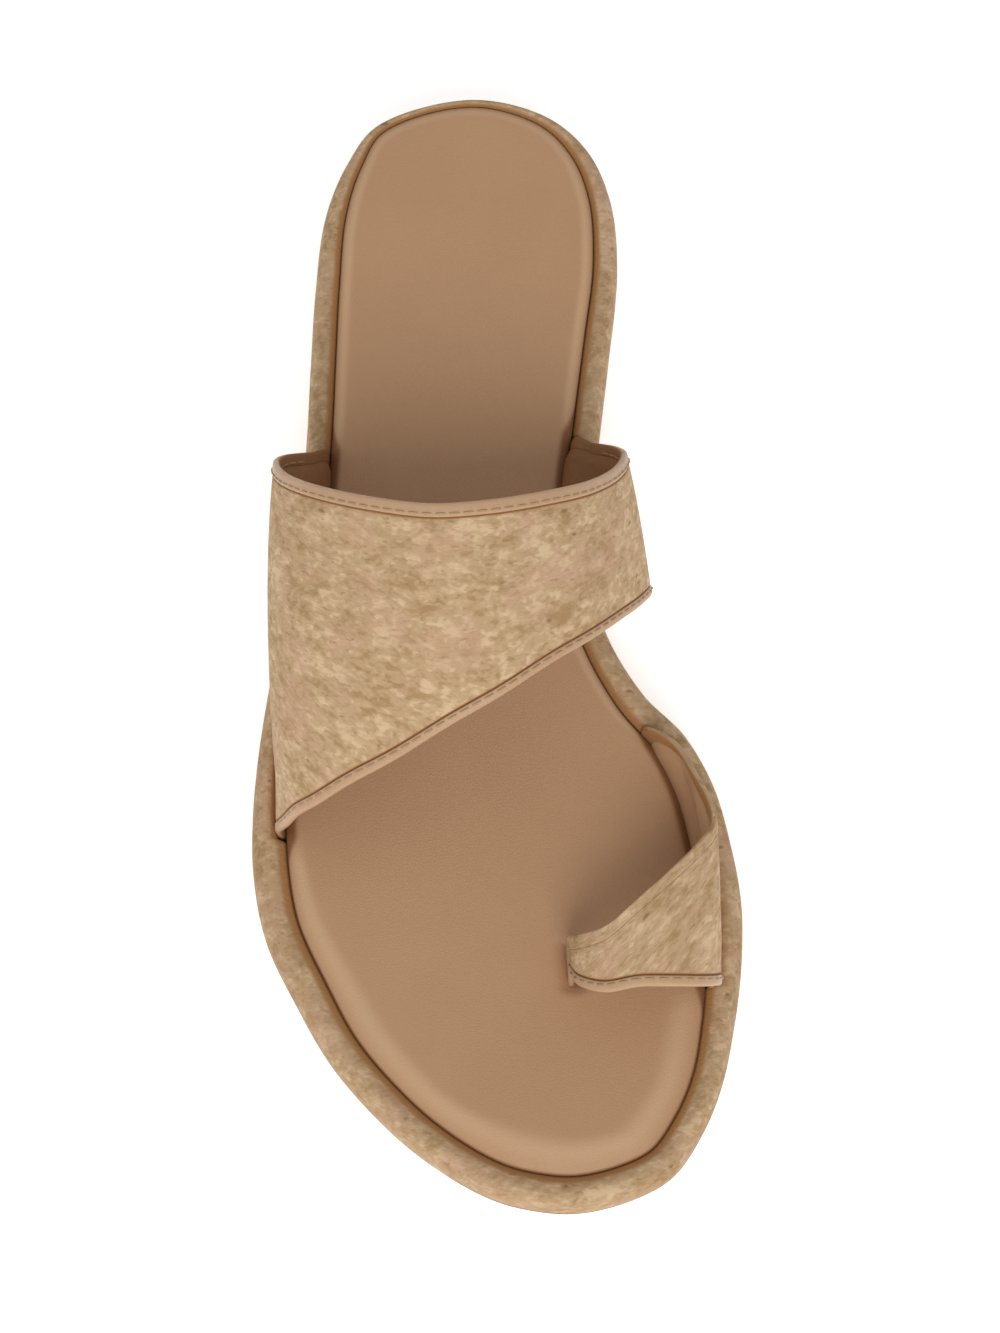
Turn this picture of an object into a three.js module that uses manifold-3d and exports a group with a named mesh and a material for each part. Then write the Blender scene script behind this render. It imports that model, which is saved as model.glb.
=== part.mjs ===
// Toe ring slide sandal, right foot.
// A cork-wrapped platform sole carries a padded leather insole, a broad instep strap cut on
// a slant and a smaller strap that rings the big toe and comes down in a post beside it.
// Millimetres, +Z up, toe toward -Y, inner side of the foot toward +X.

import * as THREE from 'three';
import { mergeVertices } from 'three/addons/utils/BufferGeometryUtils.js';
import Module from 'manifold-3d';

const wasm = await Module();
wasm.setup();

// Overall sizes of the sole and of the foot room over it
const LENGTH = 257;
const BALL_WIDTH = 104;
const HEEL_HEIGHT = 27;
const INSTEP_HEIGHT = 56;
const RING_HEIGHT = 27;

// Sole pieces
const OUTSOLE_THICKNESS = 3.5;
const OUTSOLE_INSET = 1.2;
const OUTSOLE_BEVEL = 0.8;
const TOE_SPRING = 6;
const HEEL_BEVEL = 1.6;
const WAIST_LIFT = 1.4;
const SIDE_BULGE = 1.4;
const RIM_WIDTH = 6.2;
const RIM_ROUND = 4.4;
const BED_DEPTH = 4.2;
const BED_EDGE = 0.88;

// Padded insole
const PAD_RISE = 0.5;
const PAD_DROP = 2.4;
const PAD_ROLL_HEEL = 2.8;
const PAD_ROLL_TOE = 6.4;
const HEEL_DISH = 1.3;
const BALL_DISH = 0.7;
const ARCH_RISE = 1.2;
const ARCH_EDGE = 0.9;
const PAD_BEVEL = 0.7;
const PAD_ROLL_FROM = 0.6;
const PAD_ROLL_TO = 0.9;

// Straps
const STRAP_WALL = 2.4;
const BINDING_WIDTH = 3;
const BINDING_WALL = 0.7;
const BINDING_PROUD = 0.2;
const BINDING_CHAMFER = 0.35;
const SLOT_DEPTH = 4;
const RIM_STEP_OUT = 0.5;
const RIM_CLEAR_UP = 1.5;

// Clearance between pieces that touch on the real sandal
const CLEAR = 0.3;

// How finely the faceted solids follow their curves
const OUTLINE_STEPS = 3;
const BEND_STEPS = 2;
const ACROSS_STEPS = 4;
const NORMAL_STEP = 0.004;
const CAP_BOW = 0.2;
const MERGE_WITHIN = 1e-4;

// Plan of the sole, heel to toe. along is a share of LENGTH, outer and inner are the two
// edges as shares of BALL_WIDTH, rimOuter and rimInner the rim's width as shares of RIM_WIDTH.
const HEEL_TIP = { across: -0.019, rim: 0.4 };
const TOE_TIP = { across: 0.030, rim: 1.12 };
const PLAN = [
  { along: 0.020, outer: -0.229, inner: 0.144, rimOuter: 0.46, rimInner: 0.56 },
  { along: 0.055, outer: -0.300, inner: 0.229, rimOuter: 0.64, rimInner: 0.74 },
  { along: 0.105, outer: -0.354, inner: 0.271, rimOuter: 0.82, rimInner: 0.84 },
  { along: 0.172, outer: -0.384, inner: 0.273, rimOuter: 0.92, rimInner: 0.92 },
  { along: 0.241, outer: -0.404, inner: 0.244, rimOuter: 0.95, rimInner: 0.97 },
  { along: 0.320, outer: -0.426, inner: 0.207, rimOuter: 0.97, rimInner: 1.00 },
  { along: 0.405, outer: -0.462, inner: 0.169, rimOuter: 1.00, rimInner: 1.00 },
  { along: 0.490, outer: -0.510, inner: 0.179, rimOuter: 1.03, rimInner: 1.05 },
  { along: 0.556, outer: -0.548, inner: 0.252, rimOuter: 1.08, rimInner: 1.16 },
  { along: 0.596, outer: -0.567, inner: 0.334, rimOuter: 1.14, rimInner: 1.28 },
  { along: 0.640, outer: -0.582, inner: 0.384, rimOuter: 1.22, rimInner: 1.36 },
  { along: 0.690, outer: -0.588, inner: 0.409, rimOuter: 1.28, rimInner: 1.38 },
  { along: 0.747, outer: -0.571, inner: 0.421, rimOuter: 1.27, rimInner: 1.38 },
  { along: 0.806, outer: -0.514, inner: 0.407, rimOuter: 1.22, rimInner: 1.26 },
  { along: 0.857, outer: -0.453, inner: 0.380, rimOuter: 1.16, rimInner: 1.14 },
  { along: 0.902, outer: -0.374, inner: 0.347, rimOuter: 1.14, rimInner: 1.08 },
  { along: 0.941, outer: -0.285, inner: 0.299, rimOuter: 1.13, rimInner: 1.08 },
  { along: 0.975, outer: -0.176, inner: 0.233, rimOuter: 1.12, rimInner: 1.10 },
  { along: 0.991, outer: -0.092, inner: 0.155, rimOuter: 1.12, rimInner: 1.11 },
];

// Height of the rim's crest, as a share of HEEL_HEIGHT
const CREST = [
  { along: 0.00, top: 1.000 },
  { along: 0.10, top: 1.000 },
  { along: 0.22, top: 0.955 },
  { along: 0.34, top: 0.865 },
  { along: 0.46, top: 0.770 },
  { along: 0.58, top: 0.680 },
  { along: 0.69, top: 0.635 },
  { along: 0.82, top: 0.630 },
  { along: 0.92, top: 0.675 },
  { along: 1.00, top: 0.740 },
];

// Stretches of the underside: flat heel, hollow waist, flat forefoot, then the toe spring
const HEEL_FLAT_FROM = 0.07;
const WAIST_FROM = 0.28;
const WAIST_TO = 0.58;
const SPRING_FROM = 0.73;

// Section of the rim. inset is a share of the rim's width, drop a share of RIM_ROUND.
const RIM_SECTION = [
  { inset: 0.00, drop: 1.00 },
  { inset: 0.05, drop: 0.62 },
  { inset: 0.15, drop: 0.33 },
  { inset: 0.30, drop: 0.11 },
  { inset: 0.50, drop: 0.00 },
  { inset: 0.68, drop: 0.06 },
  { inset: 0.82, drop: 0.30 },
];

// Side of the platform under the rim. inset is a share of SIDE_BULGE, rise a share of the
// height from the outsole to the rim.
const SIDE_SECTION = [
  { inset: 1.00, rise: 0.00 },
  { inset: 0.45, rise: 0.08 },
  { inset: 0.08, rise: 0.45 },
];

// Rolled edge of the insole. roll is a share of the roll's width, drop a share of PAD_DROP.
const PAD_SECTION = [
  { roll: 0.00, drop: 1.00 },
  { roll: 0.08, drop: 0.68 },
  { roll: 0.25, drop: 0.36 },
  { roll: 0.55, drop: 0.10 },
  { roll: 1.00, drop: 0.00 },
];

// Shares of the way to the middle of the foot where the insole's top has its inner rings, and
// the stretch of the middle line that they run to
const PAD_RINGS = [0.45, 1];
const MIDDLE_FROM = 0.13;
const MIDDLE_TO = 0.9;

// Stretches of the footbed, as shares of LENGTH. Each grows from start to full and is gone
// again from ease to end.
const HEEL_CUP = { start: 0.00, full: 0.10, ease: 0.20, end: 0.45 };
const BALL_CUP = { start: 0.50, full: 0.70, ease: 0.80, end: 0.95 };
const ARCH = { start: 0.25, full: 0.42, ease: 0.45, end: 0.62 };

// Point of a strap's edge: along is a share of LENGTH, across a share of BALL_WIDTH and up a
// share of the strap's own height over the rim
function at(along, across, up) {
  return { along, across, up };
}

// Instep strap, outer side of the foot to inner side, with up a share of INSTEP_HEIGHT. Each row
// is one bend line from the rear edge to the front edge of the strap's outer face. swell is how
// far the bend line bows outward halfway, as a share of BALL_WIDTH.
const INSTEP_ROWS = [
  { rear: at(0.340, -0.423, 0.139), front: at(0.667, -0.527, 0.095), swell: 0.012 },
  { rear: at(0.354, -0.479, 0.279), front: at(0.672, -0.512, 0.215), swell: 0.026 },
  { rear: at(0.372, -0.488, 0.420), front: at(0.672, -0.486, 0.335), swell: 0.032 },
  { rear: at(0.398, -0.466, 0.600), front: at(0.671, -0.441, 0.440), swell: 0.030 },
  { rear: at(0.425, -0.404, 0.777), front: at(0.664, -0.374, 0.548), swell: 0.024 },
  { rear: at(0.451, -0.298, 0.930), front: at(0.653, -0.276, 0.653), swell: 0.016 },
  { rear: at(0.468, -0.173, 1.015), front: at(0.634, -0.163, 0.739), swell: 0.010 },
  { rear: at(0.467, -0.048, 1.005), front: at(0.615, -0.057, 0.779), swell: 0.008 },
  { rear: at(0.455, 0.067, 0.920), front: at(0.589, 0.050, 0.766), swell: 0.008 },
  { rear: at(0.436, 0.154, 0.768), front: at(0.566, 0.133, 0.690), swell: 0.008 },
  { rear: at(0.409, 0.216, 0.571), front: at(0.541, 0.201, 0.570), swell: 0.009 },
  { rear: at(0.379, 0.245, 0.375), front: at(0.516, 0.255, 0.418), swell: 0.010 },
  { rear: at(0.360, 0.234, 0.225), front: at(0.495, 0.277, 0.265), swell: 0.008 },
  { rear: at(0.344, 0.192, 0.094), front: at(0.482, 0.240, 0.140), swell: 0.004 },
];

// Toe ring, from the inner side of the foot over the big toe and down the post beside it.
// The columns are those of the instep strap, with up a share of RING_HEIGHT.
const RING_ROWS = [
  { rear: at(0.614, 0.308, 0.250), front: at(0.826, 0.353, 0.167), swell: 0.000 },
  { rear: at(0.647, 0.341, 0.430), front: at(0.830, 0.354, 0.315), swell: 0.004 },
  { rear: at(0.678, 0.364, 0.610), front: at(0.834, 0.351, 0.480), swell: 0.006 },
  { rear: at(0.703, 0.366, 0.800), front: at(0.840, 0.336, 0.667), swell: 0.006 },
  { rear: at(0.723, 0.332, 0.944), front: at(0.844, 0.299, 0.830), swell: 0.005 },
  { rear: at(0.747, 0.269, 1.037), front: at(0.845, 0.243, 0.926), swell: 0.004 },
  { rear: at(0.770, 0.195, 1.020), front: at(0.843, 0.176, 0.907), swell: 0.004 },
  { rear: at(0.788, 0.123, 0.870), front: at(0.841, 0.110, 0.740), swell: 0.002 },
  { rear: at(0.786, 0.066, 0.600), front: at(0.828, 0.063, 0.520), swell: 0.000 },
  { rear: at(0.778, 0.049, 0.300), front: at(0.811, 0.049, 0.260), swell: 0.000 },
];

// Rows that make a strap's foot, rows over which the groove's bend fades out of the strap, and
// rows from each end that still pass through the sole
const FOOT_ROWS = 3;
const FADE_ROWS = 3;
const SLOT_ROWS = 5;

// Stations where the straps' ends leave the groove, as shares of LENGTH
const INSTEP_BASE = { outerRear: 0.328, outerFront: 0.664, innerRear: 0.333, innerFront: 0.471 };
const RING_BASE = { rear: 0.592, front: 0.822 };

// Smooth curve through one column of a table, by the station along the foot
function column(rows, key) {
  return (along) => {
    const last = rows.length - 1;
    let k = 0;
    while (k < last - 1 && along > rows[k + 1].along) {
      k += 1;
    }
    const before = rows[Math.max(k - 1, 0)];
    const from = rows[k];
    const to = rows[k + 1];
    const after = rows[Math.min(k + 2, last)];
    const span = to.along - from.along;
    const slopeFrom = (to[key] - before[key]) / (to.along - before.along);
    const slopeTo = (after[key] - from[key]) / (after.along - from.along);
    const t = THREE.MathUtils.clamp((along - from.along) / span, 0, 1);
    const t2 = t * t;
    const t3 = t2 * t;
    return (2 * t3 - 3 * t2 + 1) * from[key] + (t3 - 2 * t2 + t) * span * slopeFrom
      + (3 * t2 - 2 * t3) * to[key] + (t3 - t2) * span * slopeTo;
  };
}

const crestShare = column(CREST, 'top');

// Height of the rim's crest at a distance from the heel
function crest(distance) {
  return HEEL_HEIGHT * crestShare(distance / LENGTH);
}

// Height of the underside over the floor at a distance from the heel
function underside(distance) {
  const along = distance / LENGTH;
  if (along < HEEL_FLAT_FROM) {
    return HEEL_BEVEL * ((HEEL_FLAT_FROM - along) / HEEL_FLAT_FROM) ** 2;
  }
  if (along > SPRING_FROM) {
    return TOE_SPRING * ((along - SPRING_FROM) / (1 - SPRING_FROM)) ** 2;
  }
  if (along > WAIST_FROM && along < WAIST_TO) {
    return WAIST_LIFT * Math.sin(Math.PI * (along - WAIST_FROM) / (WAIST_TO - WAIST_FROM)) ** 2;
  }
  return 0;
}

// Closed outline of the sole from the heel tip down the outer side to the toe tip and back up
// the inner side, each point with its inward direction and the width of the rim there
function traceOutline() {
  const control = (along, across, rim) => (
    new THREE.Vector3(across * BALL_WIDTH, along * LENGTH, rim * RIM_WIDTH)
  );
  const controls = [
    control(0, HEEL_TIP.across, HEEL_TIP.rim),
    ...PLAN.map((row) => control(row.along, row.outer, row.rimOuter)),
    control(1, TOE_TIP.across, TOE_TIP.rim),
    ...[...PLAN].reverse().map((row) => control(row.along, row.inner, row.rimInner)),
  ];
  const curve = new THREE.CatmullRomCurve3(controls, true, 'centripetal');
  const count = controls.length * OUTLINE_STEPS;
  const trace = [];
  for (let i = 0; i < count; i += 1) {
    const point = curve.getPoint(i / count);
    const tangent = curve.getTangent(i / count).setZ(0).normalize();
    trace.push({ x: point.x, along: point.y, rim: point.z, inX: tangent.y, inAlong: -tangent.x });
  }
  return trace;
}

const OUTLINE = traceOutline();
const HALF = OUTLINE.length / 2;

// Point of the outline moved inward; the second axis is the distance from the heel
function inward(point, inset) {
  return { x: point.x + point.inX * inset, along: point.along + point.inAlong * inset };
}

// One ring of a sole piece: place gives each outline point its inset and its height
function ring(place) {
  return OUTLINE.map((point) => {
    const { inset, height } = place(point);
    const moved = inward(point, inset);
    return new THREE.Vector3(moved.x, moved.along, height(moved.along, moved.x));
  });
}

// Ring shrunk toward the middle of the foot, with its own height rule
function shrink(base, share, height) {
  return base.map((point, i) => {
    const across = base[(base.length - i) % base.length];
    const heelward = THREE.MathUtils.clamp(point.y, MIDDLE_FROM * LENGTH, MIDDLE_TO * LENGTH);
    const middle = new THREE.Vector3((point.x + across.x) / 2, heelward, 0);
    const moved = point.clone().lerp(middle, share);
    moved.z = height(moved.y, moved.x);
    return moved;
  });
}

// Vertices and triangles collected as plain lists, then merged into one closed geometry
function toGeometry(vertices, triangles) {
  const soup = new THREE.BufferGeometry();
  const positions = vertices.flatMap((vertex) => vertex.toArray());
  soup.setAttribute('position', new THREE.Float32BufferAttribute(positions, 3));
  soup.setIndex(triangles);
  const merged = mergeVertices(soup, MERGE_WITHIN);
  const index = [...merged.index.array];
  const kept = [];
  for (let t = 0; t < index.length; t += 3) {
    const [a, b, c] = index.slice(t, t + 3);
    if (a !== b && b !== c && c !== a) {
      kept.push(a, b, c);
    }
  }
  merged.setIndex(kept);
  return merged;
}

// Closed solid from rings stacked bottom to top, each end closed across the foot
function stackRings(rings) {
  const count = rings[0].length;
  const triangles = [];
  rings.slice(1).forEach((_, level) => {
    for (let i = 0; i < count; i += 1) {
      const next = (i + 1) % count;
      const [a, b] = [level * count + i, level * count + next];
      triangles.push(a, a + count, b, b, a + count, b + count);
    }
  });
  const top = (rings.length - 1) * count;
  for (let i = 0; i < HALF; i += 1) {
    const facing = (count - i) % count;
    const facingNext = count - i - 1;
    triangles.push(i, i + 1, facingNext, i, facingNext, facing);
    triangles.push(top + i, top + facingNext, top + i + 1, top + i, top + facing, top + facingNext);
  }
  return toGeometry(rings.flat(), triangles);
}

// Sign of a closed geometry's volume
function signedVolume(geometry) {
  const position = geometry.attributes.position;
  const index = geometry.index.array;
  const [a, b, c] = [new THREE.Vector3(), new THREE.Vector3(), new THREE.Vector3()];
  let volume = 0;
  for (let t = 0; t < index.length; t += 3) {
    a.fromBufferAttribute(position, index[t]);
    b.fromBufferAttribute(position, index[t + 1]);
    c.fromBufferAttribute(position, index[t + 2]);
    volume += a.dot(b.cross(c));
  }
  return volume;
}

// Turns every triangle around where the geometry is inside out
function facingOut(geometry) {
  if (signedVolume(geometry) < 0) {
    const index = geometry.index.array;
    for (let t = 0; t < index.length; t += 3) {
      [index[t + 1], index[t + 2]] = [index[t + 2], index[t + 1]];
    }
  }
  return geometry;
}

// Closed geometry to a solid for joins and cuts
function toSolid(geometry) {
  const merged = facingOut(geometry);
  return new wasm.Manifold(new wasm.Mesh({
    numProp: 3,
    vertProperties: new Float32Array(merged.attributes.position.array),
    triVerts: new Uint32Array(merged.index.array),
  }));
}

// Solid back to a geometry with its own normals
function fromSolid(solid) {
  const mesh = solid.getMesh();
  const geometry = new THREE.BufferGeometry();
  geometry.setAttribute('position', new THREE.BufferAttribute(mesh.vertProperties, 3));
  geometry.setIndex(new THREE.BufferAttribute(mesh.triVerts, 1));
  geometry.computeVertexNormals();
  return geometry;
}

// Rubber outsole, a plate that follows the underside
function buildOutsole() {
  const rows = [
    { inset: OUTSOLE_INSET + OUTSOLE_BEVEL, up: 0 },
    { inset: OUTSOLE_INSET, up: OUTSOLE_BEVEL },
    { inset: OUTSOLE_INSET, up: OUTSOLE_THICKNESS },
  ];
  return stackRings(rows.map(({ inset, up }) => ring(() => ({
    inset,
    height: (along) => underside(along) + up,
  }))));
}

// Lowest height of the platform, just over the outsole
function platformFoot(along) {
  return underside(along) + OUTSOLE_THICKNESS + CLEAR;
}

// Height of the bed that the insole lies on
function bedHeight(along) {
  return crest(along) - BED_DEPTH;
}

// Cork-wrapped platform: full sides, a rounded rim and a sunk bed for the insole
function buildPlatform() {
  const rimFoot = (along) => crest(along) - RIM_ROUND;
  const rings = SIDE_SECTION.map(({ inset, rise }) => ring(() => ({
    inset: inset * SIDE_BULGE,
    height: (along) => THREE.MathUtils.lerp(platformFoot(along), rimFoot(along), rise),
  })));
  for (const { inset, drop } of RIM_SECTION) {
    rings.push(ring((point) => ({
      inset: inset * point.rim,
      height: (along) => crest(along) - drop * RIM_ROUND,
    })));
  }
  rings.push(ring((point) => ({ inset: point.rim * BED_EDGE, height: bedHeight })));
  return stackRings(rings);
}

// Plan half width and middle of the insole at a distance from the heel
function insoleSpan(distance) {
  const outer = grooveAcross('outer', distance);
  const inner = grooveAcross('inner', distance);
  return { middle: (outer + inner) / 2, half: Math.max((inner - outer) / 2, 1) };
}

// How far a stretch of the footbed has grown at a station
function stretch(along, { start, full, ease, end }) {
  const grown = THREE.MathUtils.smoothstep(along, start, full);
  return grown * (1 - THREE.MathUtils.smoothstep(along, ease, end));
}

// Footbed shape over the crest's line: dished heel and ball, arch raised on the inner side
function contour(distance, x) {
  const along = distance / LENGTH;
  const { middle, half } = insoleSpan(distance);
  const across = THREE.MathUtils.clamp((x - middle) / half, -1, 1);
  const depth = HEEL_DISH * stretch(along, HEEL_CUP) + BALL_DISH * stretch(along, BALL_CUP);
  const arch = ARCH_RISE * stretch(along, ARCH) * THREE.MathUtils.smoothstep(across, 0, ARCH_EDGE);
  return arch - depth * (1 - across * across);
}

// Width over which the insole's edge rolls down
function padRoll(distance) {
  const toward = THREE.MathUtils.smoothstep(distance / LENGTH, PAD_ROLL_FROM, PAD_ROLL_TO);
  return THREE.MathUtils.lerp(PAD_ROLL_HEEL, PAD_ROLL_TOE, toward);
}

// Height of the top of the insole, away from its rolled edge
function padTop(along, x) {
  return crest(along) + PAD_RISE + contour(along, x);
}

// Padded insole, sunk in the platform's bed
function buildInsole() {
  const side = (point) => point.rim + CLEAR;
  const under = (along) => bedHeight(along) + CLEAR;
  const rings = [
    ring((point) => ({ inset: side(point) + PAD_BEVEL, height: under })),
    ring((point) => ({ inset: side(point), height: (along) => under(along) + PAD_BEVEL })),
  ];
  for (const { roll, drop } of PAD_SECTION) {
    rings.push(ring((point) => ({
      inset: side(point) + roll * padRoll(point.along),
      height: (along, x) => padTop(along, x) - drop * PAD_DROP,
    })));
  }
  const flat = rings[rings.length - 1];
  for (const share of PAD_RINGS) {
    rings.push(shrink(flat, share, padTop));
  }
  return stackRings(rings);
}

// Inner edge of the rim, heel to toe, on the outer and on the inner side of the foot
function traceGroove() {
  const edge = OUTLINE.map((point) => inward(point, point.rim));
  return { outer: edge.slice(0, HALF + 1), inner: [edge[0], ...edge.slice(HALF).reverse()] };
}

const GROOVE = traceGroove();

// Where the groove between insole and rim runs on one side, by the distance from the heel
function grooveAcross(side, distance) {
  const run = GROOVE[side];
  for (let i = 1; i < run.length; i += 1) {
    if (run[i].along >= distance) {
      const share = (distance - run[i - 1].along) / (run[i].along - run[i - 1].along);
      return THREE.MathUtils.lerp(run[i - 1].x, run[i].x, THREE.MathUtils.clamp(share, 0, 1));
    }
  }
  return run[run.length - 1].x;
}

// One edge of a strap as a smooth curve through its rows, from the foot of one end to the other
function edgeCurve(points) {
  return new THREE.CatmullRomCurve3(points, false, 'centripetal');
}

// Foot of a strap in the groove: down in its slot, at the bed and just over the rim
function grooveFoot(side, distance) {
  const outward = side === 'outer' ? -1 : 1;
  const x = grooveAcross(side, distance) + outward * (CLEAR + STRAP_WALL);
  return [
    new THREE.Vector3(x, distance, bedHeight(distance) - SLOT_DEPTH),
    new THREE.Vector3(x, distance, bedHeight(distance)),
    new THREE.Vector3(x + outward * RIM_STEP_OUT, distance, crest(distance) + RIM_CLEAR_UP),
  ];
}

// Foot of the toe post: straight down through the insole
function postFoot({ along, across }) {
  const distance = along * LENGTH;
  const x = across * BALL_WIDTH;
  return [
    new THREE.Vector3(x, distance, crest(distance) + RIM_CLEAR_UP),
    new THREE.Vector3(x, distance, bedHeight(distance)),
    new THREE.Vector3(x, distance, bedHeight(distance) - SLOT_DEPTH),
  ];
}

// Table point of a strap in millimetres
function strapPoint({ along, across, up }, height) {
  const distance = along * LENGTH;
  return new THREE.Vector3(across * BALL_WIDTH, distance, crest(distance) + up * height);
}

// How far the groove bends away from the straight line between two stations of a strap's foot
function footBend(side, from, to) {
  return (v) => {
    const distance = THREE.MathUtils.lerp(from, to, v);
    const straight = THREE.MathUtils.lerp(grooveAcross(side, from), grooveAcross(side, to), v);
    const straightUp = THREE.MathUtils.lerp(crest(from), crest(to), v);
    return new THREE.Vector3(grooveAcross(side, distance) - straight, 0, crest(distance) - straightUp);
  };
}

// A strap from its two edges: face(u, v) is its outer face, u from one end to the other and v
// from the rear to the front edge, following the groove near the ends that stand in it
function makeStrap({ rear, front, startBend, endBend, swells, outward }) {
  const rows = rear.points.length - 1;
  const swellAt = edgeCurve(swells.map((swell, k) => new THREE.Vector3(k, swell, 0)));
  const footEnd = (FOOT_ROWS - 1) / rows;
  const fadeEnd = (FOOT_ROWS - 1 + FADE_ROWS) / rows;
  const face = (u, v) => {
    const point = rear.getPoint(u).lerp(front.getPoint(u), v);
    const { middle } = insoleSpan(point.y);
    const away = new THREE.Vector3(point.x - middle, 0, point.z - crest(point.y)).normalize();
    point.addScaledVector(away, swellAt.getPoint(u).y * BALL_WIDTH * 4 * v * (1 - v));
    point.addScaledVector(startBend(v), 1 - THREE.MathUtils.smoothstep(u, footEnd, fadeEnd));
    if (endBend) {
      point.addScaledVector(endBend(v), THREE.MathUtils.smoothstep(u, 1 - fadeEnd, 1 - footEnd));
    }
    return point;
  };
  return { face, outward, steps: rows * BEND_STEPS };
}

// Outward direction of a strap's face
function faceNormal(face, u, v) {
  const low = (share) => Math.max(share - NORMAL_STEP, 0);
  const high = (share) => Math.min(share + NORMAL_STEP, 1);
  const alongStrap = face(high(u), v).sub(face(low(u), v));
  const acrossStrap = face(u, high(v)).sub(face(u, low(v)));
  return alongStrap.cross(acrossStrap).normalize();
}

// A section's points with straight runs bowed out a little, so that every one shows in its end cap
function barrelled(points) {
  const width = Math.max(...points.map(({ w }) => w));
  return points.map(({ w, t }) => {
    const bow = 1 + CAP_BOW * (w / width) * (1 - w / width);
    return new THREE.Vector2(w, STRAP_WALL / 2 + (t - STRAP_WALL / 2) * bow);
  });
}

// Lofts a section along a strap. section(width) gives points { w, t }: w from the rear edge,
// t down from the outer face. first and last are steps along the strap, and extend lowers
// the ends that stand in the sole.
function loftStrap(strap, section, { first = 0, last = strap.steps, extend = 0 } = {}) {
  const vertices = [];
  const widthAt = (u) => strap.face(u, 0).distanceTo(strap.face(u, 1));
  const steps = last - first;
  const count = section(widthAt(0)).length;
  for (let step = first; step <= last; step += 1) {
    const u = step / strap.steps;
    const width = widthAt(u);
    const atEnd = step === 0 || step === strap.steps;
    for (const { w, t } of section(width)) {
      const v = w / width;
      const inside = THREE.MathUtils.clamp(v, 0, 1);
      const over = (v - inside) * width;
      const ruling = strap.face(u, 1).sub(strap.face(u, 0)).normalize();
      const point = strap.face(u, inside).addScaledVector(ruling, over);
      point.addScaledVector(faceNormal(strap.face, u, inside), -t * strap.outward);
      point.z -= atEnd ? extend : 0;
      vertices.push(point);
    }
  }
  const triangles = [];
  for (let j = 0; j < steps; j += 1) {
    for (let i = 0; i < count; i += 1) {
      const next = (i + 1) % count;
      const [a, b] = [j * count + i, j * count + next];
      triangles.push(a, b, a + count, b, b + count, a + count);
    }
  }
  const flat = barrelled(section(widthAt(first / strap.steps)));
  const cap = THREE.ShapeUtils.triangulateShape(flat, []);
  const lastRow = steps * count;
  const turned = THREE.ShapeUtils.isClockWise(flat);
  for (const [a, b, c] of cap) {
    const [p, q] = turned ? [b, c] : [c, b];
    triangles.push(a, p, q, lastRow + a, lastRow + q, lastRow + p);
  }
  return facingOut(toGeometry(vertices, triangles));
}

// Distances across a strap, between its two bindings, at which its section has points
function betweenBindings(width) {
  const shoulder = BINDING_WIDTH + CLEAR;
  const distances = [];
  for (let k = 0; k <= ACROSS_STEPS; k += 1) {
    distances.push(THREE.MathUtils.lerp(shoulder, width - shoulder, k / ACROSS_STEPS));
  }
  return distances;
}

// Section of the strap's wall, skived to a tongue along both edges for the bindings
function wallSection(width) {
  const lip = BINDING_WALL + CLEAR - BINDING_PROUD;
  const tip = BINDING_WALL + CLEAR;
  const stations = betweenBindings(width);
  const shoulder = stations[0];
  return [
    { w: tip, t: lip }, { w: shoulder, t: lip }, ...stations.map((w) => ({ w, t: 0 })),
    { w: width - shoulder, t: lip }, { w: width - tip, t: lip },
    { w: width - tip, t: STRAP_WALL - lip }, { w: width - shoulder, t: STRAP_WALL - lip },
    ...stations.reverse().map((w) => ({ w, t: STRAP_WALL })),
    { w: shoulder, t: STRAP_WALL - lip }, { w: tip, t: STRAP_WALL - lip },
  ];
}

// Section of a leather binding folded round one edge
function bindingSection(atFront) {
  const top = -BINDING_PROUD;
  const bottom = STRAP_WALL + BINDING_PROUD;
  const folded = [
    { w: 0, t: top + BINDING_CHAMFER }, { w: BINDING_CHAMFER, t: top }, { w: BINDING_WIDTH, t: top },
    { w: BINDING_WIDTH, t: top + BINDING_WALL }, { w: BINDING_WALL, t: top + BINDING_WALL },
    { w: BINDING_WALL, t: bottom - BINDING_WALL }, { w: BINDING_WIDTH, t: bottom - BINDING_WALL },
    { w: BINDING_WIDTH, t: bottom }, { w: BINDING_CHAMFER, t: bottom },
    { w: 0, t: bottom - BINDING_CHAMFER },
  ];
  return (width) => folded.map(({ w, t }) => ({ w: atFront ? width - w : w, t }));
}

// Room that a strap and its bindings need in the sole
function roomSection(width) {
  const top = -BINDING_PROUD - CLEAR;
  const bottom = STRAP_WALL + BINDING_PROUD + CLEAR;
  const stations = [-CLEAR, ...betweenBindings(width), width + CLEAR];
  return [
    ...stations.map((w) => ({ w, t: top })),
    ...stations.reverse().map((w) => ({ w, t: bottom })),
  ];
}

// Swells of a strap's rows, with none in its two feet
function withFeet(rows) {
  const foot = new Array(FOOT_ROWS).fill(0);
  return [...foot, ...rows.map((row) => row.swell), ...foot];
}

// Instep strap: both ends leave the groove beside the insole
function instepStrap() {
  const outer = { rear: INSTEP_BASE.outerRear * LENGTH, front: INSTEP_BASE.outerFront * LENGTH };
  const inner = { rear: INSTEP_BASE.innerRear * LENGTH, front: INSTEP_BASE.innerFront * LENGTH };
  const curveOf = (edge) => edgeCurve([
    ...grooveFoot('outer', outer[edge]),
    ...INSTEP_ROWS.map((row) => strapPoint(row[edge], INSTEP_HEIGHT)),
    ...grooveFoot('inner', inner[edge]).reverse(),
  ]);
  return makeStrap({
    rear: curveOf('rear'),
    front: curveOf('front'),
    startBend: footBend('outer', outer.rear, outer.front),
    endBend: footBend('inner', inner.rear, inner.front),
    swells: withFeet(INSTEP_ROWS),
    outward: 1,
  });
}

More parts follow.
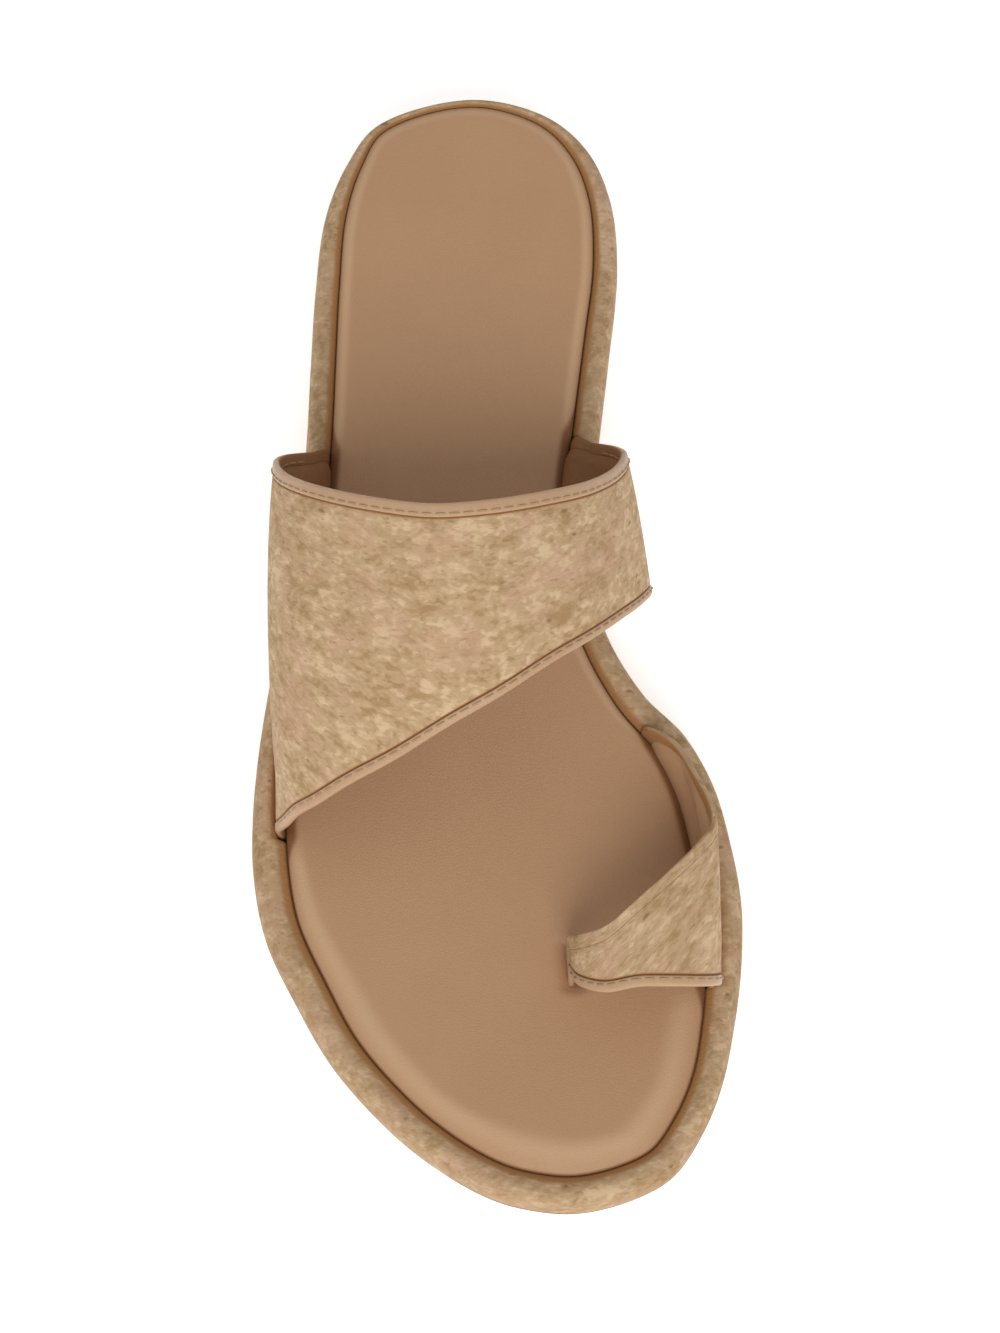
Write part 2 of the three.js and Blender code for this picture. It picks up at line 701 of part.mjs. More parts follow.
// Toe ring: one end in the groove, the other down the post
function toeRing() {
  const base = { rear: RING_BASE.rear * LENGTH, front: RING_BASE.front * LENGTH };
  const curveOf = (edge) => edgeCurve([
    ...grooveFoot('inner', base[edge]),
    ...RING_ROWS.map((row) => strapPoint(row[edge], RING_HEIGHT)),
    ...postFoot(RING_ROWS[RING_ROWS.length - 1][edge]),
  ]);
  return makeStrap({
    rear: curveOf('rear'),
    front: curveOf('front'),
    startBend: footBend('inner', base.rear, base.front),
    endBend: null,
    swells: withFeet(RING_ROWS),
    outward: -1,
  });
}

const instep = instepStrap();
const ringStrap = toeRing();

// Cuts the straps' slots out of a sole piece
function withSlots(geometry) {
  const reach = SLOT_ROWS * BEND_STEPS;
  let solid = toSolid(geometry);
  for (const strap of [instep, ringStrap]) {
    for (const [first, last] of [[0, reach], [strap.steps - reach, strap.steps]]) {
      solid = solid.subtract(toSolid(loftStrap(strap, roomSection, { first, last, extend: CLEAR })));
    }
  }
  return fromSolid(solid);
}

const cork = () => new THREE.MeshStandardMaterial({ color: 0xbd9f74, roughness: 0.85, metalness: 0 });
const leather = () => new THREE.MeshStandardMaterial({ color: 0xa98366, roughness: 0.55, metalness: 0 });
const rubber = () => new THREE.MeshStandardMaterial({ color: 0x8a6a48, roughness: 0.8, metalness: 0 });

const group = new THREE.Group();

function addPiece(name, geometry, material) {
  const mesh = new THREE.Mesh(geometry, material);
  mesh.name = name;
  group.add(mesh);
}

addPiece('outsole', facingOut(buildOutsole()), rubber());
addPiece('platform', withSlots(buildPlatform()), cork());
addPiece('insole', withSlots(buildInsole()), leather());
addPiece('instep_strap', loftStrap(instep, wallSection), cork());
addPiece('instep_binding_rear', loftStrap(instep, bindingSection(false)), leather());
addPiece('instep_binding_front', loftStrap(instep, bindingSection(true)), leather());
addPiece('toe_ring', loftStrap(ringStrap, wallSection), cork());
addPiece('ring_binding_rear', loftStrap(ringStrap, bindingSection(false)), leather());
addPiece('ring_binding_front', loftStrap(ringStrap, bindingSection(true)), leather());

// Distances from the heel run toward -Y, and the origin is under the middle of the sandal
for (const mesh of group.children) {
  mesh.geometry.scale(1, -1, 1);
  facingOut(mesh.geometry);
}
const box = new THREE.Box3().setFromObject(group);
group.position.set(-(box.min.x + box.max.x) / 2, -(box.min.y + box.max.y) / 2, -box.min.z);

export default group;
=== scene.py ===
"""Toe ring slide sandal, right foot, dressed in cork, leather and rubber.

Metres, +Z up, toe toward -Y, inner side of the foot toward +X. The form is worked out in
millimetres on the last's own plan: across the foot, distance from the heel, height.
"""
import math

import bmesh
import bpy
import numpy as np
from bpy.props import FloatProperty, FloatVectorProperty, PointerProperty
from mathutils import Matrix, Vector


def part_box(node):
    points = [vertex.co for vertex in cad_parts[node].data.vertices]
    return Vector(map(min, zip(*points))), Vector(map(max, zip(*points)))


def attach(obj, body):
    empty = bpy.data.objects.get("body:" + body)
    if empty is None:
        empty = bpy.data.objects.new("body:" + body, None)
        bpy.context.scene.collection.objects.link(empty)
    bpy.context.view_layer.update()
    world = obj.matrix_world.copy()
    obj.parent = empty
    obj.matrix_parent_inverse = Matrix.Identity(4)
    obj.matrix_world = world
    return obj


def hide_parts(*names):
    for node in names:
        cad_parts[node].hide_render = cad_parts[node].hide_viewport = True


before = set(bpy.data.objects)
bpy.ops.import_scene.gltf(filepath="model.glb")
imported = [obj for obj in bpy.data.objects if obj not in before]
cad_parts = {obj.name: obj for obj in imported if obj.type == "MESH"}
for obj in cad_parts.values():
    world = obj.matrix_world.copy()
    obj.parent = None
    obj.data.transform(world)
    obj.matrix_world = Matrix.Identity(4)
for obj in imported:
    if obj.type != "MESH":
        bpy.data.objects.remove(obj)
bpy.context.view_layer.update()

bl_info = {
    "name": "Toe Ring Slide Sandal",
    "version": (1, 0, 0),
    "blender": (4, 5, 0),
    "location": "View3D > Sidebar > Sandal",
    "description": "Builds the pieces of a cork and leather toe ring slide sandal",
    "category": "Add Mesh",
}

PLATFORM_LOW, PLATFORM_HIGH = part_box("platform")
MM = 0.001

# Plan of the sole, heel to toe: station along the foot as a share of the length, the outer and
# inner edge as shares of the ball width, the rim's width at the two sides as shares of its size
HEEL_TIP = {"across": -0.019, "rim": 0.4}
TOE_TIP = {"across": 0.030, "rim": 1.12}
PLAN = (
    (0.020, -0.229, 0.144, 0.46, 0.56),
    (0.055, -0.300, 0.229, 0.64, 0.74),
    (0.105, -0.354, 0.271, 0.82, 0.84),
    (0.172, -0.384, 0.273, 0.92, 0.92),
    (0.241, -0.404, 0.244, 0.95, 0.97),
    (0.320, -0.426, 0.207, 0.97, 1.00),
    (0.405, -0.462, 0.169, 1.00, 1.00),
    (0.490, -0.510, 0.179, 1.03, 1.05),
    (0.556, -0.548, 0.252, 1.08, 1.16),
    (0.596, -0.567, 0.334, 1.14, 1.28),
    (0.640, -0.582, 0.384, 1.22, 1.36),
    (0.690, -0.588, 0.409, 1.28, 1.38),
    (0.747, -0.571, 0.421, 1.27, 1.38),
    (0.806, -0.514, 0.407, 1.22, 1.26),
    (0.857, -0.453, 0.380, 1.16, 1.14),
    (0.902, -0.374, 0.347, 1.14, 1.08),
    (0.941, -0.285, 0.299, 1.13, 1.08),
    (0.975, -0.176, 0.233, 1.12, 1.10),
    (0.991, -0.092, 0.155, 1.12, 1.11),
)

# Height of the rim's crest as a share of the heel height, by the station along the foot
CREST = (
    (0.00, 1.000),
    (0.10, 1.000),
    (0.22, 0.955),
    (0.34, 0.865),
    (0.46, 0.770),
    (0.58, 0.680),
    (0.69, 0.635),
    (0.82, 0.630),
    (0.92, 0.675),
    (1.00, 0.740),
)

# Stretches of the underside, as shares of the length
HEEL_FLAT_FROM = 0.07
WAIST_FROM = 0.28
WAIST_TO = 0.58
SPRING_FROM = 0.73

# Stretches of the footbed: start, full, ease and end, as shares of the length
HEEL_CUP = (0.00, 0.10, 0.20, 0.45)
BALL_CUP = (0.50, 0.70, 0.80, 0.95)
ARCH = (0.25, 0.42, 0.45, 0.62)

# Side of the platform under the rim: inset as a share of the bulge, rise up the side
SIDE_SECTION = (
    (1.00, 0.00),
    (0.45, 0.08),
    (0.08, 0.45),
)

# Section of the rim: inset as a share of its width, drop as a share of its rounding
RIM_SECTION = (
    (0.00, 1.00),
    (0.05, 0.62),
    (0.15, 0.33),
    (0.30, 0.11),
    (0.50, 0.00),
    (0.68, 0.05),
    (0.82, 0.17),
    (0.92, 0.30),
    (0.99, 0.48),
)

# Rolled edge of the insole: share of the roll's width, share of the pad's drop
PAD_SECTION = (
    (0.00, 1.00),
    (0.06, 0.72),
    (0.22, 0.42),
    (0.52, 0.14),
    (0.78, 0.03),
    (1.00, 0.00),
)

# Instep strap, outer side of the foot to inner side. Each row is one bend line: its rear and its
# front end, each as (along, across, up), and how far it bows outward halfway
INSTEP_ROWS = (
    ((0.340, -0.423, 0.139), (0.667, -0.527, 0.095), 0.012),
    ((0.354, -0.479, 0.279), (0.672, -0.512, 0.215), 0.026),
    ((0.372, -0.488, 0.420), (0.672, -0.486, 0.335), 0.032),
    ((0.398, -0.466, 0.600), (0.671, -0.441, 0.440), 0.030),
    ((0.425, -0.404, 0.777), (0.664, -0.374, 0.548), 0.024),
    ((0.451, -0.298, 0.930), (0.653, -0.276, 0.653), 0.016),
    ((0.468, -0.173, 1.015), (0.634, -0.163, 0.739), 0.010),
    ((0.467, -0.048, 1.005), (0.615, -0.057, 0.779), 0.008),
    ((0.455, 0.067, 0.920), (0.589, 0.050, 0.766), 0.008),
    ((0.436, 0.154, 0.768), (0.566, 0.133, 0.690), 0.008),
    ((0.409, 0.216, 0.571), (0.541, 0.201, 0.570), 0.009),
    ((0.379, 0.245, 0.375), (0.516, 0.255, 0.418), 0.010),
    ((0.360, 0.234, 0.225), (0.495, 0.277, 0.265), 0.008),
    ((0.344, 0.192, 0.094), (0.482, 0.240, 0.140), 0.004),
)

# Toe ring, from the inner side of the foot over the big toe and down the post beside it
RING_ROWS = (
    ((0.614, 0.308, 0.250), (0.826, 0.353, 0.167), 0.000),
    ((0.647, 0.341, 0.430), (0.830, 0.354, 0.315), 0.004),
    ((0.678, 0.364, 0.610), (0.834, 0.351, 0.480), 0.006),
    ((0.703, 0.366, 0.800), (0.840, 0.336, 0.667), 0.006),
    ((0.723, 0.332, 0.944), (0.844, 0.299, 0.830), 0.005),
    ((0.747, 0.269, 1.037), (0.845, 0.243, 0.926), 0.004),
    ((0.770, 0.195, 1.020), (0.843, 0.176, 0.907), 0.004),
    ((0.788, 0.123, 0.870), (0.841, 0.110, 0.740), 0.002),
    ((0.786, 0.066, 0.600), (0.828, 0.063, 0.520), 0.000),
    ((0.778, 0.049, 0.300), (0.811, 0.049, 0.260), 0.000),
)

# Stations where the straps' feet stand in the groove, as shares of the length: rear and front
INSTEP_OUTER_FOOT = (0.328, 0.664)
INSTEP_INNER_FOOT = (0.333, 0.471)
RING_FOOT = (0.592, 0.822)
FEET = (("outer", INSTEP_OUTER_FOOT), ("inner", INSTEP_INNER_FOOT), ("inner", RING_FOOT))
# A foot's rows of points, the rows over which its bend fades, and how far over the insole's
# edge it stands, in millimetres
FOOT_ROWS = 3
FADE_ROWS = 3
FOOT_IN = 0.6

# Fixed sizes of the sole in millimetres
OUTSOLE_INSET = 1.2
TOE_SPRING = 6.0
HEEL_BEVEL = 1.6
WAIST_LIFT = 1.4
SIDE_BULGE = 1.4
PAD_RISE = 0.5
PAD_DROP = (1.8, 2.4)
PAD_ROLL = (3.4, 9.5)
HEEL_DISH = 1.3
BALL_DISH = 0.7
ARCH_RISE = 1.2
CLEAR = 0.3
# Where the pad's roll widens and its middle line runs, as shares of the length, and how far out
# the arch is full, as a share of the half width
PAD_ROLL_SPAN = (0.6, 0.9)
MIDDLE_SPAN = (0.13, 0.9)
ARCH_EDGE = 0.9

# Fixed sizes of the straps in millimetres
SLOT_DEPTH = 4.0
RIM_STEP_OUT = 0.5
RIM_CLEAR_UP = 1.5

# How finely the meshes follow their curves: points to a stretch, steps as shares of a curve
OUTLINE_STEPS = 16
SECTION_STEPS = 4
OUTLINE_TURN = 1e-4
NORMAL_STEP = 0.004
# Least gap between two points of a curve
LEAST_GAP = 1e-4
# Points closer than this are made one on the outsole, in millimetres, and edges shorter than
# this are taken out, in metres
WELD = 0.02
LEAST_EDGE = 1e-7


def smoothstep(value, low, high):
    """Smooth rise from 0 at low to 1 at high."""
    share = np.clip((np.asarray(value, float) - low) / (high - low), 0.0, 1.0)
    return share * share * (3.0 - 2.0 * share)


def spline(points, closed=False):
    """Centripetal curve through points, as a function of shares from 0 to 1."""
    knots = np.asarray(points, float)
    count = len(knots)
    spans = count if closed else count - 1
    padded = np.vstack([2 * knots[0] - knots[1], knots, 2 * knots[-1] - knots[-2]])

    def curve(share):
        place = np.atleast_1d(np.asarray(share, float)) * spans
        k = np.floor(place).astype(int)
        if closed:
            part = [knots[(k + step) % count] for step in (-1, 0, 1, 2)]
        else:
            k = np.clip(k, 0, count - 2)
            part = [padded[k + step] for step in (0, 1, 2, 3)]
        w = (place - k)[:, None]
        gaps = [
            np.maximum(np.sum((part[i + 1] - part[i]) ** 2, axis=1) ** 0.25, LEAST_GAP)[:, None]
            for i in range(3)
        ]
        first = (part[1] - part[0]) / gaps[0] + (part[2] - part[1]) / gaps[1]
        first = (first - (part[2] - part[0]) / (gaps[0] + gaps[1])) * gaps[1]
        second = (part[2] - part[1]) / gaps[1] + (part[3] - part[2]) / gaps[2]
        second = (second - (part[3] - part[1]) / (gaps[1] + gaps[2])) * gaps[1]
        cubic = 2 * part[1] - 2 * part[2] + first + second
        square = 3 * part[2] - 3 * part[1] - 2 * first - second
        return part[1] + w * (first + w * (square + w * cubic))

    return curve


def column(rows, index):
    """Smooth curve through one column of a table, by the station in its first column."""
    stations = np.array([row[0] for row in rows])
    values = np.array([row[index] for row in rows])
    last = len(rows) - 1

    def curve(along):
        along = np.asarray(along, float)
        k = np.searchsorted(stations[1:last], along, side="left")
        before = np.maximum(k - 1, 0)
        after = np.minimum(k + 2, last)
        span = stations[k + 1] - stations[k]
        slope_from = (values[k + 1] - values[before]) / (stations[k + 1] - stations[before])
        slope_to = (values[after] - values[k]) / (stations[after] - stations[k])
        t = np.clip((along - stations[k]) / span, 0, 1)
        start = (2 * t**3 - 3 * t**2 + 1) * values[k]
        end = (3 * t**2 - 2 * t**3) * values[k + 1]
        bend = (t**3 - 2 * t**2 + t) * slope_from + (t**3 - t**2) * slope_to
        return start + end + span * bend

    return curve


CREST_SHARE = column(CREST, 1)


class Last:
    """The sandal's form over its plan, in millimetres."""

    def __init__(self, sizes):
        self.length = sizes.length / MM
        self.ball = sizes.ball_width / MM
        self.heel = sizes.heel_height / MM
        self.rim = sizes.rim_width / MM
        self.round = sizes.rim_round / MM
        self.bed = sizes.bed_depth / MM
        self.plate = sizes.outsole_thickness / MM
        self.wall = sizes.strap_wall / MM
        self.outline = self.trace_outline()
        self.half = len(self.outline["x"]) // 2
        self.groove = self.trace_groove()
        low, high = self.outline["x"].min(), self.outline["x"].max()
        middle = (PLATFORM_LOW[0] + PLATFORM_HIGH[0]) / 2 / MM
        self.shift = (middle - (low + high) / 2, self.length / 2)

    def trace_outline(self):
        """Edge of the sole from the heel tip down the outer side, round the toe and back."""
        controls = [(HEEL_TIP["across"] * self.ball, 0.0, HEEL_TIP["rim"] * self.rim)]
        for along, outer, _, rim, _ in PLAN:
            controls.append((outer * self.ball, along * self.length, rim * self.rim))
        controls.append((TOE_TIP["across"] * self.ball, self.length, TOE_TIP["rim"] * self.rim))
        for along, _, inner, _, rim in reversed(PLAN):
            controls.append((inner * self.ball, along * self.length, rim * self.rim))
        curve = spline(controls, closed=True)
        count = len(controls) * OUTLINE_STEPS
        share = np.arange(count) / count
        point = curve(share)
        tangent = curve((share + OUTLINE_TURN) % 1.0) - curve((share - OUTLINE_TURN) % 1.0)
        tangent = tangent[:, :2] / np.linalg.norm(tangent[:, :2], axis=1)[:, None]
        return {
            "x": point[:, 0],
            "s": point[:, 1],
            "rim": point[:, 2],
            "in_x": tangent[:, 1],
            "in_s": -tangent[:, 0],
        }

    def trace_groove(self):
        """Inner edge of the rim on the two sides of the foot, heel to toe."""
        x, s = self.inward(self.outline["rim"])
        inner = np.r_[0, np.arange(self.half, len(x))[::-1]]
        outer = np.arange(self.half + 1)
        return {"outer": (s[outer], x[outer]), "inner": (s[inner], x[inner])}

    def inward(self, inset):
        """Outline moved inward, as its x and its distance from the heel."""
        o = self.outline
        return o["x"] + o["in_x"] * inset, o["s"] + o["in_s"] * inset

    def crest(self, s):
        """Height of the rim's crest."""
        return self.heel * CREST_SHARE(s / self.length)

    def underside(self, s):
        """Height of the underside over the floor."""
        along = s / self.length
        heel = HEEL_BEVEL * np.clip((HEEL_FLAT_FROM - along) / HEEL_FLAT_FROM, 0, None) ** 2
        toe = TOE_SPRING * np.clip((along - SPRING_FROM) / (1 - SPRING_FROM), 0, None) ** 2
        share = np.clip((along - WAIST_FROM) / (WAIST_TO - WAIST_FROM), 0, 1)
        return heel + toe + WAIST_LIFT * np.sin(math.pi * share) ** 2

    def bed_height(self, s):
        """Height of the bed that the insole lies on."""
        return self.crest(s) - self.bed

    def groove_x(self, side, s):
        """Where the groove between insole and rim runs on one side."""
        stations, across = self.groove[side]
        return np.interp(s, stations, across)

    def insole_span(self, s):
        """Middle and half width of the insole."""
        outer = self.groove_x("outer", s)
        inner = self.groove_x("inner", s)
        return (outer + inner) / 2, np.maximum((inner - outer) / 2, 1.0)

    def pad_top(self, x, s):
        """Height of the insole's top away from its rolled edge."""
        along = s / self.length
        middle, half = self.insole_span(s)
        across = np.clip((x - middle) / half, -1, 1)

        def stretch(span):
            start, full, ease, end = span
            return smoothstep(along, start, full) * (1 - smoothstep(along, ease, end))

        depth = HEEL_DISH * stretch(HEEL_CUP) + BALL_DISH * stretch(BALL_CUP)
        arch = ARCH_RISE * stretch(ARCH) * smoothstep(across, 0, ARCH_EDGE)
        return self.crest(s) + PAD_RISE + arch - depth * (1 - across**2)

    def place(self, points):
        """Points of the plan in millimetres to the frame's metres."""
        points = np.asarray(points, float)
        placed = np.empty_like(points)
        placed[:, 0] = points[:, 0] + self.shift[0]
        placed[:, 1] = self.shift[1] - points[:, 1]
        placed[:, 2] = points[:, 2]
        return placed * MM


class Strap:
    """A strap as a bent sheet: u runs from one end to the other, v from rear to front edge."""

    def __init__(self, last, rows, height, feet, outward):
        self.last = last
        self.outward = outward
        self.rows = len(rows) + 2 * FOOT_ROWS - 1
        start, end = feet
        self.edges = []
        for edge in (0, 1):
            points = self.groove_foot(*start, edge)
            for row in rows:
                along, across, up = row[edge]
                s = along * last.length
                points.append((across * last.ball, s, float(last.crest(s)) + up * height))
            if end:
                points += self.groove_foot(*end, edge)[::-1]
            else:
                points += self.post_foot(rows[-1][edge])
            self.edges.append(spline(points))
        swell = [0.0] * FOOT_ROWS + [row[2] for row in rows] + [0.0] * FOOT_ROWS
        self.swell = spline([(k, value) for k, value in enumerate(swell)])
        self.start = start
        self.end = end

    def groove_foot(self, side, stations, edge):
        """Foot of one edge: in its slot, at the bed and just over the rim."""
        last = self.last
        s = stations[edge] * last.length
        out = -1 if side == "outer" else 1
        x = float(last.groove_x(side, s)) + out * (last.wall - FOOT_IN)
        bed = float(last.bed_height(s))
        over = float(last.crest(s)) + RIM_CLEAR_UP
        return [(x, s, bed - SLOT_DEPTH), (x, s, bed), (x + out * RIM_STEP_OUT, s, over)]

    def post_foot(self, top):
        """Foot of the toe post, straight down through the insole."""
        last = self.last
        along, across, _ = top
        s = along * last.length
        x = across * last.ball
        bed = float(last.bed_height(s))
        over = float(last.crest(s)) + RIM_CLEAR_UP
        return [(x, s, over), (x, s, bed), (x, s, bed - SLOT_DEPTH)]

    def foot_bend(self, foot, v):
        """How far the groove bends away from the straight line between a foot's stations."""
        last = self.last
        side, stations = foot
        low, high = (station * last.length for station in stations)
        s = low + (high - low) * v
        line = last.groove_x(side, low) * (1 - v) + last.groove_x(side, high) * v
        rise = last.crest(low) * (1 - v) + last.crest(high) * v
        zero = np.zeros_like(v)
        return np.stack([last.groove_x(side, s) - line, zero, last.crest(s) - rise], axis=1)

    def face(self, u, v):
        """Points of the outer face."""
        last = self.last
        rear = self.edges[0](u)
        front = self.edges[1](u)
        point = rear + (front - rear) * v[:, None]
        middle, _ = last.insole_span(point[:, 1])
        zero = np.zeros_like(middle)
        away = np.stack([point[:, 0] - middle, zero, point[:, 2] - last.crest(point[:, 1])], axis=1)
        away /= np.linalg.norm(away, axis=1)[:, None]
        bow = self.swell(u)[:, 1] * last.ball * 4 * v * (1 - v)
        point = point + away * bow[:, None]
        foot = (FOOT_ROWS - 1) / self.rows
        fade = (FOOT_ROWS - 1 + FADE_ROWS) / self.rows
        point += self.foot_bend(self.start, v) * (1 - smoothstep(u, foot, fade))[:, None]
        if self.end:
            point += self.foot_bend(self.end, v) * smoothstep(u, 1 - fade, 1 - foot)[:, None]
        return point

    def normal(self, u, v):
        """Outward direction of the outer face."""
        def low(share):
            return np.maximum(share - NORMAL_STEP, 0)

        def high(share):
            return np.minimum(share + NORMAL_STEP, 1)

        down = self.face(high(u), v) - self.face(low(u), v)
        over = self.face(u, high(v)) - self.face(u, low(v))
        out = np.cross(down, over)
        return out / np.linalg.norm(out, axis=1)[:, None] * self.outward

    def width(self, u):
        """Width of the strap from edge to edge."""
        zero = np.zeros_like(u)
        return np.linalg.norm(self.face(u, zero) - self.face(u, zero + 1), axis=1)

    def at(self, u, w, depth):
        """Points w from the rear edge and depth under the outer face."""
        width = self.width(u)
        v = w / width
        inside = np.clip(v, 0, 1)
        ruling = self.face(u, np.ones_like(u)) - self.face(u, np.zeros_like(u))
        ruling /= np.linalg.norm(ruling, axis=1)[:, None]
        point = self.face(u, inside) + ruling * ((v - inside) * width)[:, None]
        return point - self.normal(u, inside) * depth[:, None]

    def run(self, u):
        """Distance along the middle of the strap, by u."""
        middle = self.face(u, np.full_like(u, 0.5))
        steps = np.linalg.norm(np.diff(middle, axis=0), axis=1)
        return np.r_[0, np.cumsum(steps)]


def shape_of(context):
    """The last and the two straps, from the sizes in the sidebar."""
    sizes = context.scene.sandal_sizes
    last = Last(sizes)
    instep = Strap(last, INSTEP_ROWS, sizes.instep_height / MM, FEET[:2], 1)
    ring = Strap(last, RING_ROWS, sizes.ring_height / MM, (FEET[2], None), -1)
    return last, instep, ring


# Meshes

def make_piece(name, last, points, faces, material, sheet=None, shade=None, weld=0.0):
    """A mesh object from points of the plan, with the cloth coordinates its material reads."""
    mesh = bpy.data.meshes.new(name)
    placed = last.place(points)
    mesh.from_pydata(placed.tolist(), [], faces)
    lay = placed if sheet is None else np.asarray(sheet, float) * MM
    attribute = mesh.attributes.new("sheet", "FLOAT_VECTOR", "POINT")
    attribute.data.foreach_set("vector", np.ascontiguousarray(lay, np.float32).ravel())
    # The shade attribute carries painted shade where it is positive and a painted highlight where it is
    # negative
    depth = np.zeros(len(placed)) if shade is None else np.asarray(shade, float)
    attribute = mesh.attributes.new("shade", "FLOAT", "POINT")
    attribute.data.foreach_set("value", depth.astype(np.float32))
    work = bmesh.new()
    work.from_mesh(mesh)
    if weld:
        bmesh.ops.remove_doubles(work, verts=work.verts, dist=weld * MM)
        bmesh.ops.dissolve_degenerate(work, edges=work.edges, dist=LEAST_EDGE)
    bmesh.ops.recalc_face_normals(work, faces=work.faces)
    work.to_mesh(mesh)
    work.free()
    mesh.polygons.foreach_set("use_smooth", [True] * len(mesh.polygons))
    mesh.materials.append(material)
    piece = bpy.data.objects.new(name, mesh)
    bpy.context.scene.collection.objects.link(piece)
    return piece


def grid_faces(rows, columns, around):
    """Quads of a grid, joined across its columns' ends where it goes around."""
    faces = []
    for row in range(rows - 1):
        near = row * columns
        far = near + columns
        for i in range(columns if around else columns - 1):
            k = (i + 1) % columns
            faces.append((near + i, near + k, far + k, far + i))
    return faces


def sole_cap(start, count):
    """Faces that close a ring of the sole across the foot."""
    faces = []
    half = count // 2
    for i in range(half):
        a, b = start + i, start + i + 1
        c, d = start + (count - i - 1) % count, start + (count - i) % count
        faces.append(tuple(dict.fromkeys((a, b, c, d))))
    return faces


def beside_feet(last, fade):
    """1 where a strap's foot stands beside the outline, 0 from fade millimetres beyond it."""
    s = last.outline["s"]
    outer = np.arange(len(s)) <= last.half
    beside = np.zeros(len(s))
    for side, (rear, front) in FEET:
        here = outer if side == "outer" else ~outer
        begun = smoothstep(s, rear * last.length - fade, rear * last.length)
        ended = smoothstep(s, front * last.length, front * last.length + fade)
        beside = np.maximum(beside, here * begun * (1 - ended))
    return beside


def dense(section, steps):
    """A section's table drawn through as a smooth curve."""
    curve = spline(section)
    return curve(np.linspace(0, 1, (len(section) - 1) * steps + 1))


def ride_root(piece, slot, *nodes):
    """Puts a piece on the sandal's one body, in place of its plain solids."""
    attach(piece, "root")
    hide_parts(*nodes)
    return piece


# Outsole, in millimetres; the waist without tread in shares of the length

TREAD_PITCH = 8.0
TREAD_DEPTH = 0.9
TREAD_BORDER = 6.0
TREAD_WAVE = (1.6, 17.0)
TREAD_FLANK = (0.25, 0.8)
TREAD_FADE = 1.2
PLAIN_WAIST = (0.30, 0.33, 0.53, 0.56)
TREAD_ACROSS = 61
# Side of the plate: distance in from its widest line, height over the underside
PLATE_SIDE = (
    (0.80, 0.00),
    (0.34, 0.08),
    (0.08, 0.34),
    (0.00, 0.80),
    (0.00, 1.80),
    (0.00, 2.90),
    (0.10, 3.30),
    (0.40, 3.50),
)


def tread(last, x, s, border):
    """How far the wavy grooves of the sole's underside go in."""
    swing, length = TREAD_WAVE
    phase = 2 * math.pi * (s + swing * np.sin(2 * math.pi * x / length)) / TREAD_PITCH
    groove = smoothstep(np.sin(phase), *TREAD_FLANK)
    along = s / last.length
    start, full, ease, end = PLAIN_WAIST
    waist = smoothstep(along, start, full) * (1 - smoothstep(along, ease, end))
    inside = smoothstep(border, TREAD_BORDER - TREAD_FADE, TREAD_BORDER)
    return TREAD_DEPTH * groove * inside * (1 - waist)


def make_outsole(last, material):
    """Rubber outsole with a rounded edge and a wavy tread."""
    count = len(last.outline["x"])
    points = []
    for inset, up in PLATE_SIDE:
        x, s = last.inward(OUTSOLE_INSET + inset)
        points.append(np.stack([x, s, last.underside(s) + up], axis=1))
    faces = grid_faces(len(points), count, True)
    faces += sole_cap((len(points) - 1) * count, count)
    edge = points[0]
    rows = np.arange(last.half + 1)
    near = edge[rows]
    far = edge[(count - rows) % count]
    share = np.linspace(0, 1, TREAD_ACROSS)[None, :, None]
    across = near[:, None, :] * (1 - share) + far[:, None, :] * share
    width = np.linalg.norm(near - far, axis=1)[:, None]
    border = np.minimum(share[:, :, 0], 1 - share[:, :, 0]) * width
    ends = np.minimum(across[:, :, 1], last.length - across[:, :, 1])
    inset = tread(last, across[:, :, 0], across[:, :, 1], np.minimum(border, ends))
    across[:, :, 2] = last.underside(across[:, :, 1]) + inset
    start = len(points) * count
    for face in grid_faces(len(rows), TREAD_ACROSS, False):
        faces.append(tuple(start + k for k in face))
    everything = np.vstack(points + [across.reshape(-1, 3)])
    return make_piece("outsole_plate", last, everything, faces, material, weld=WELD)


# Platform: lengths in millimetres, shares of the side, the rim and the bed, shades from 0 to 1

WRAP_UNDER = (1.6, 0.5)
WRAP_SHADE = 0.6
WRAP_LIFT = 0.012
WRAP_BEVEL = 0.1
SIDE_TOP = (0.0, 0.96)
BED_CORNER = 0.9
POCKET_SPREAD = (0.1, 0.7)
POCKET_FADE = 0.6
POCKET_ROOM = 2.0
# Painted shade with warm bounce light on the rim's inner flank, deeper painted shade down in the groove
FLANK = (0.60, 0.86)
GROOVE_SHADE = (0.88, 0.99)
FLANK_SHADE = 0.5
BED_SHARE = 0.995


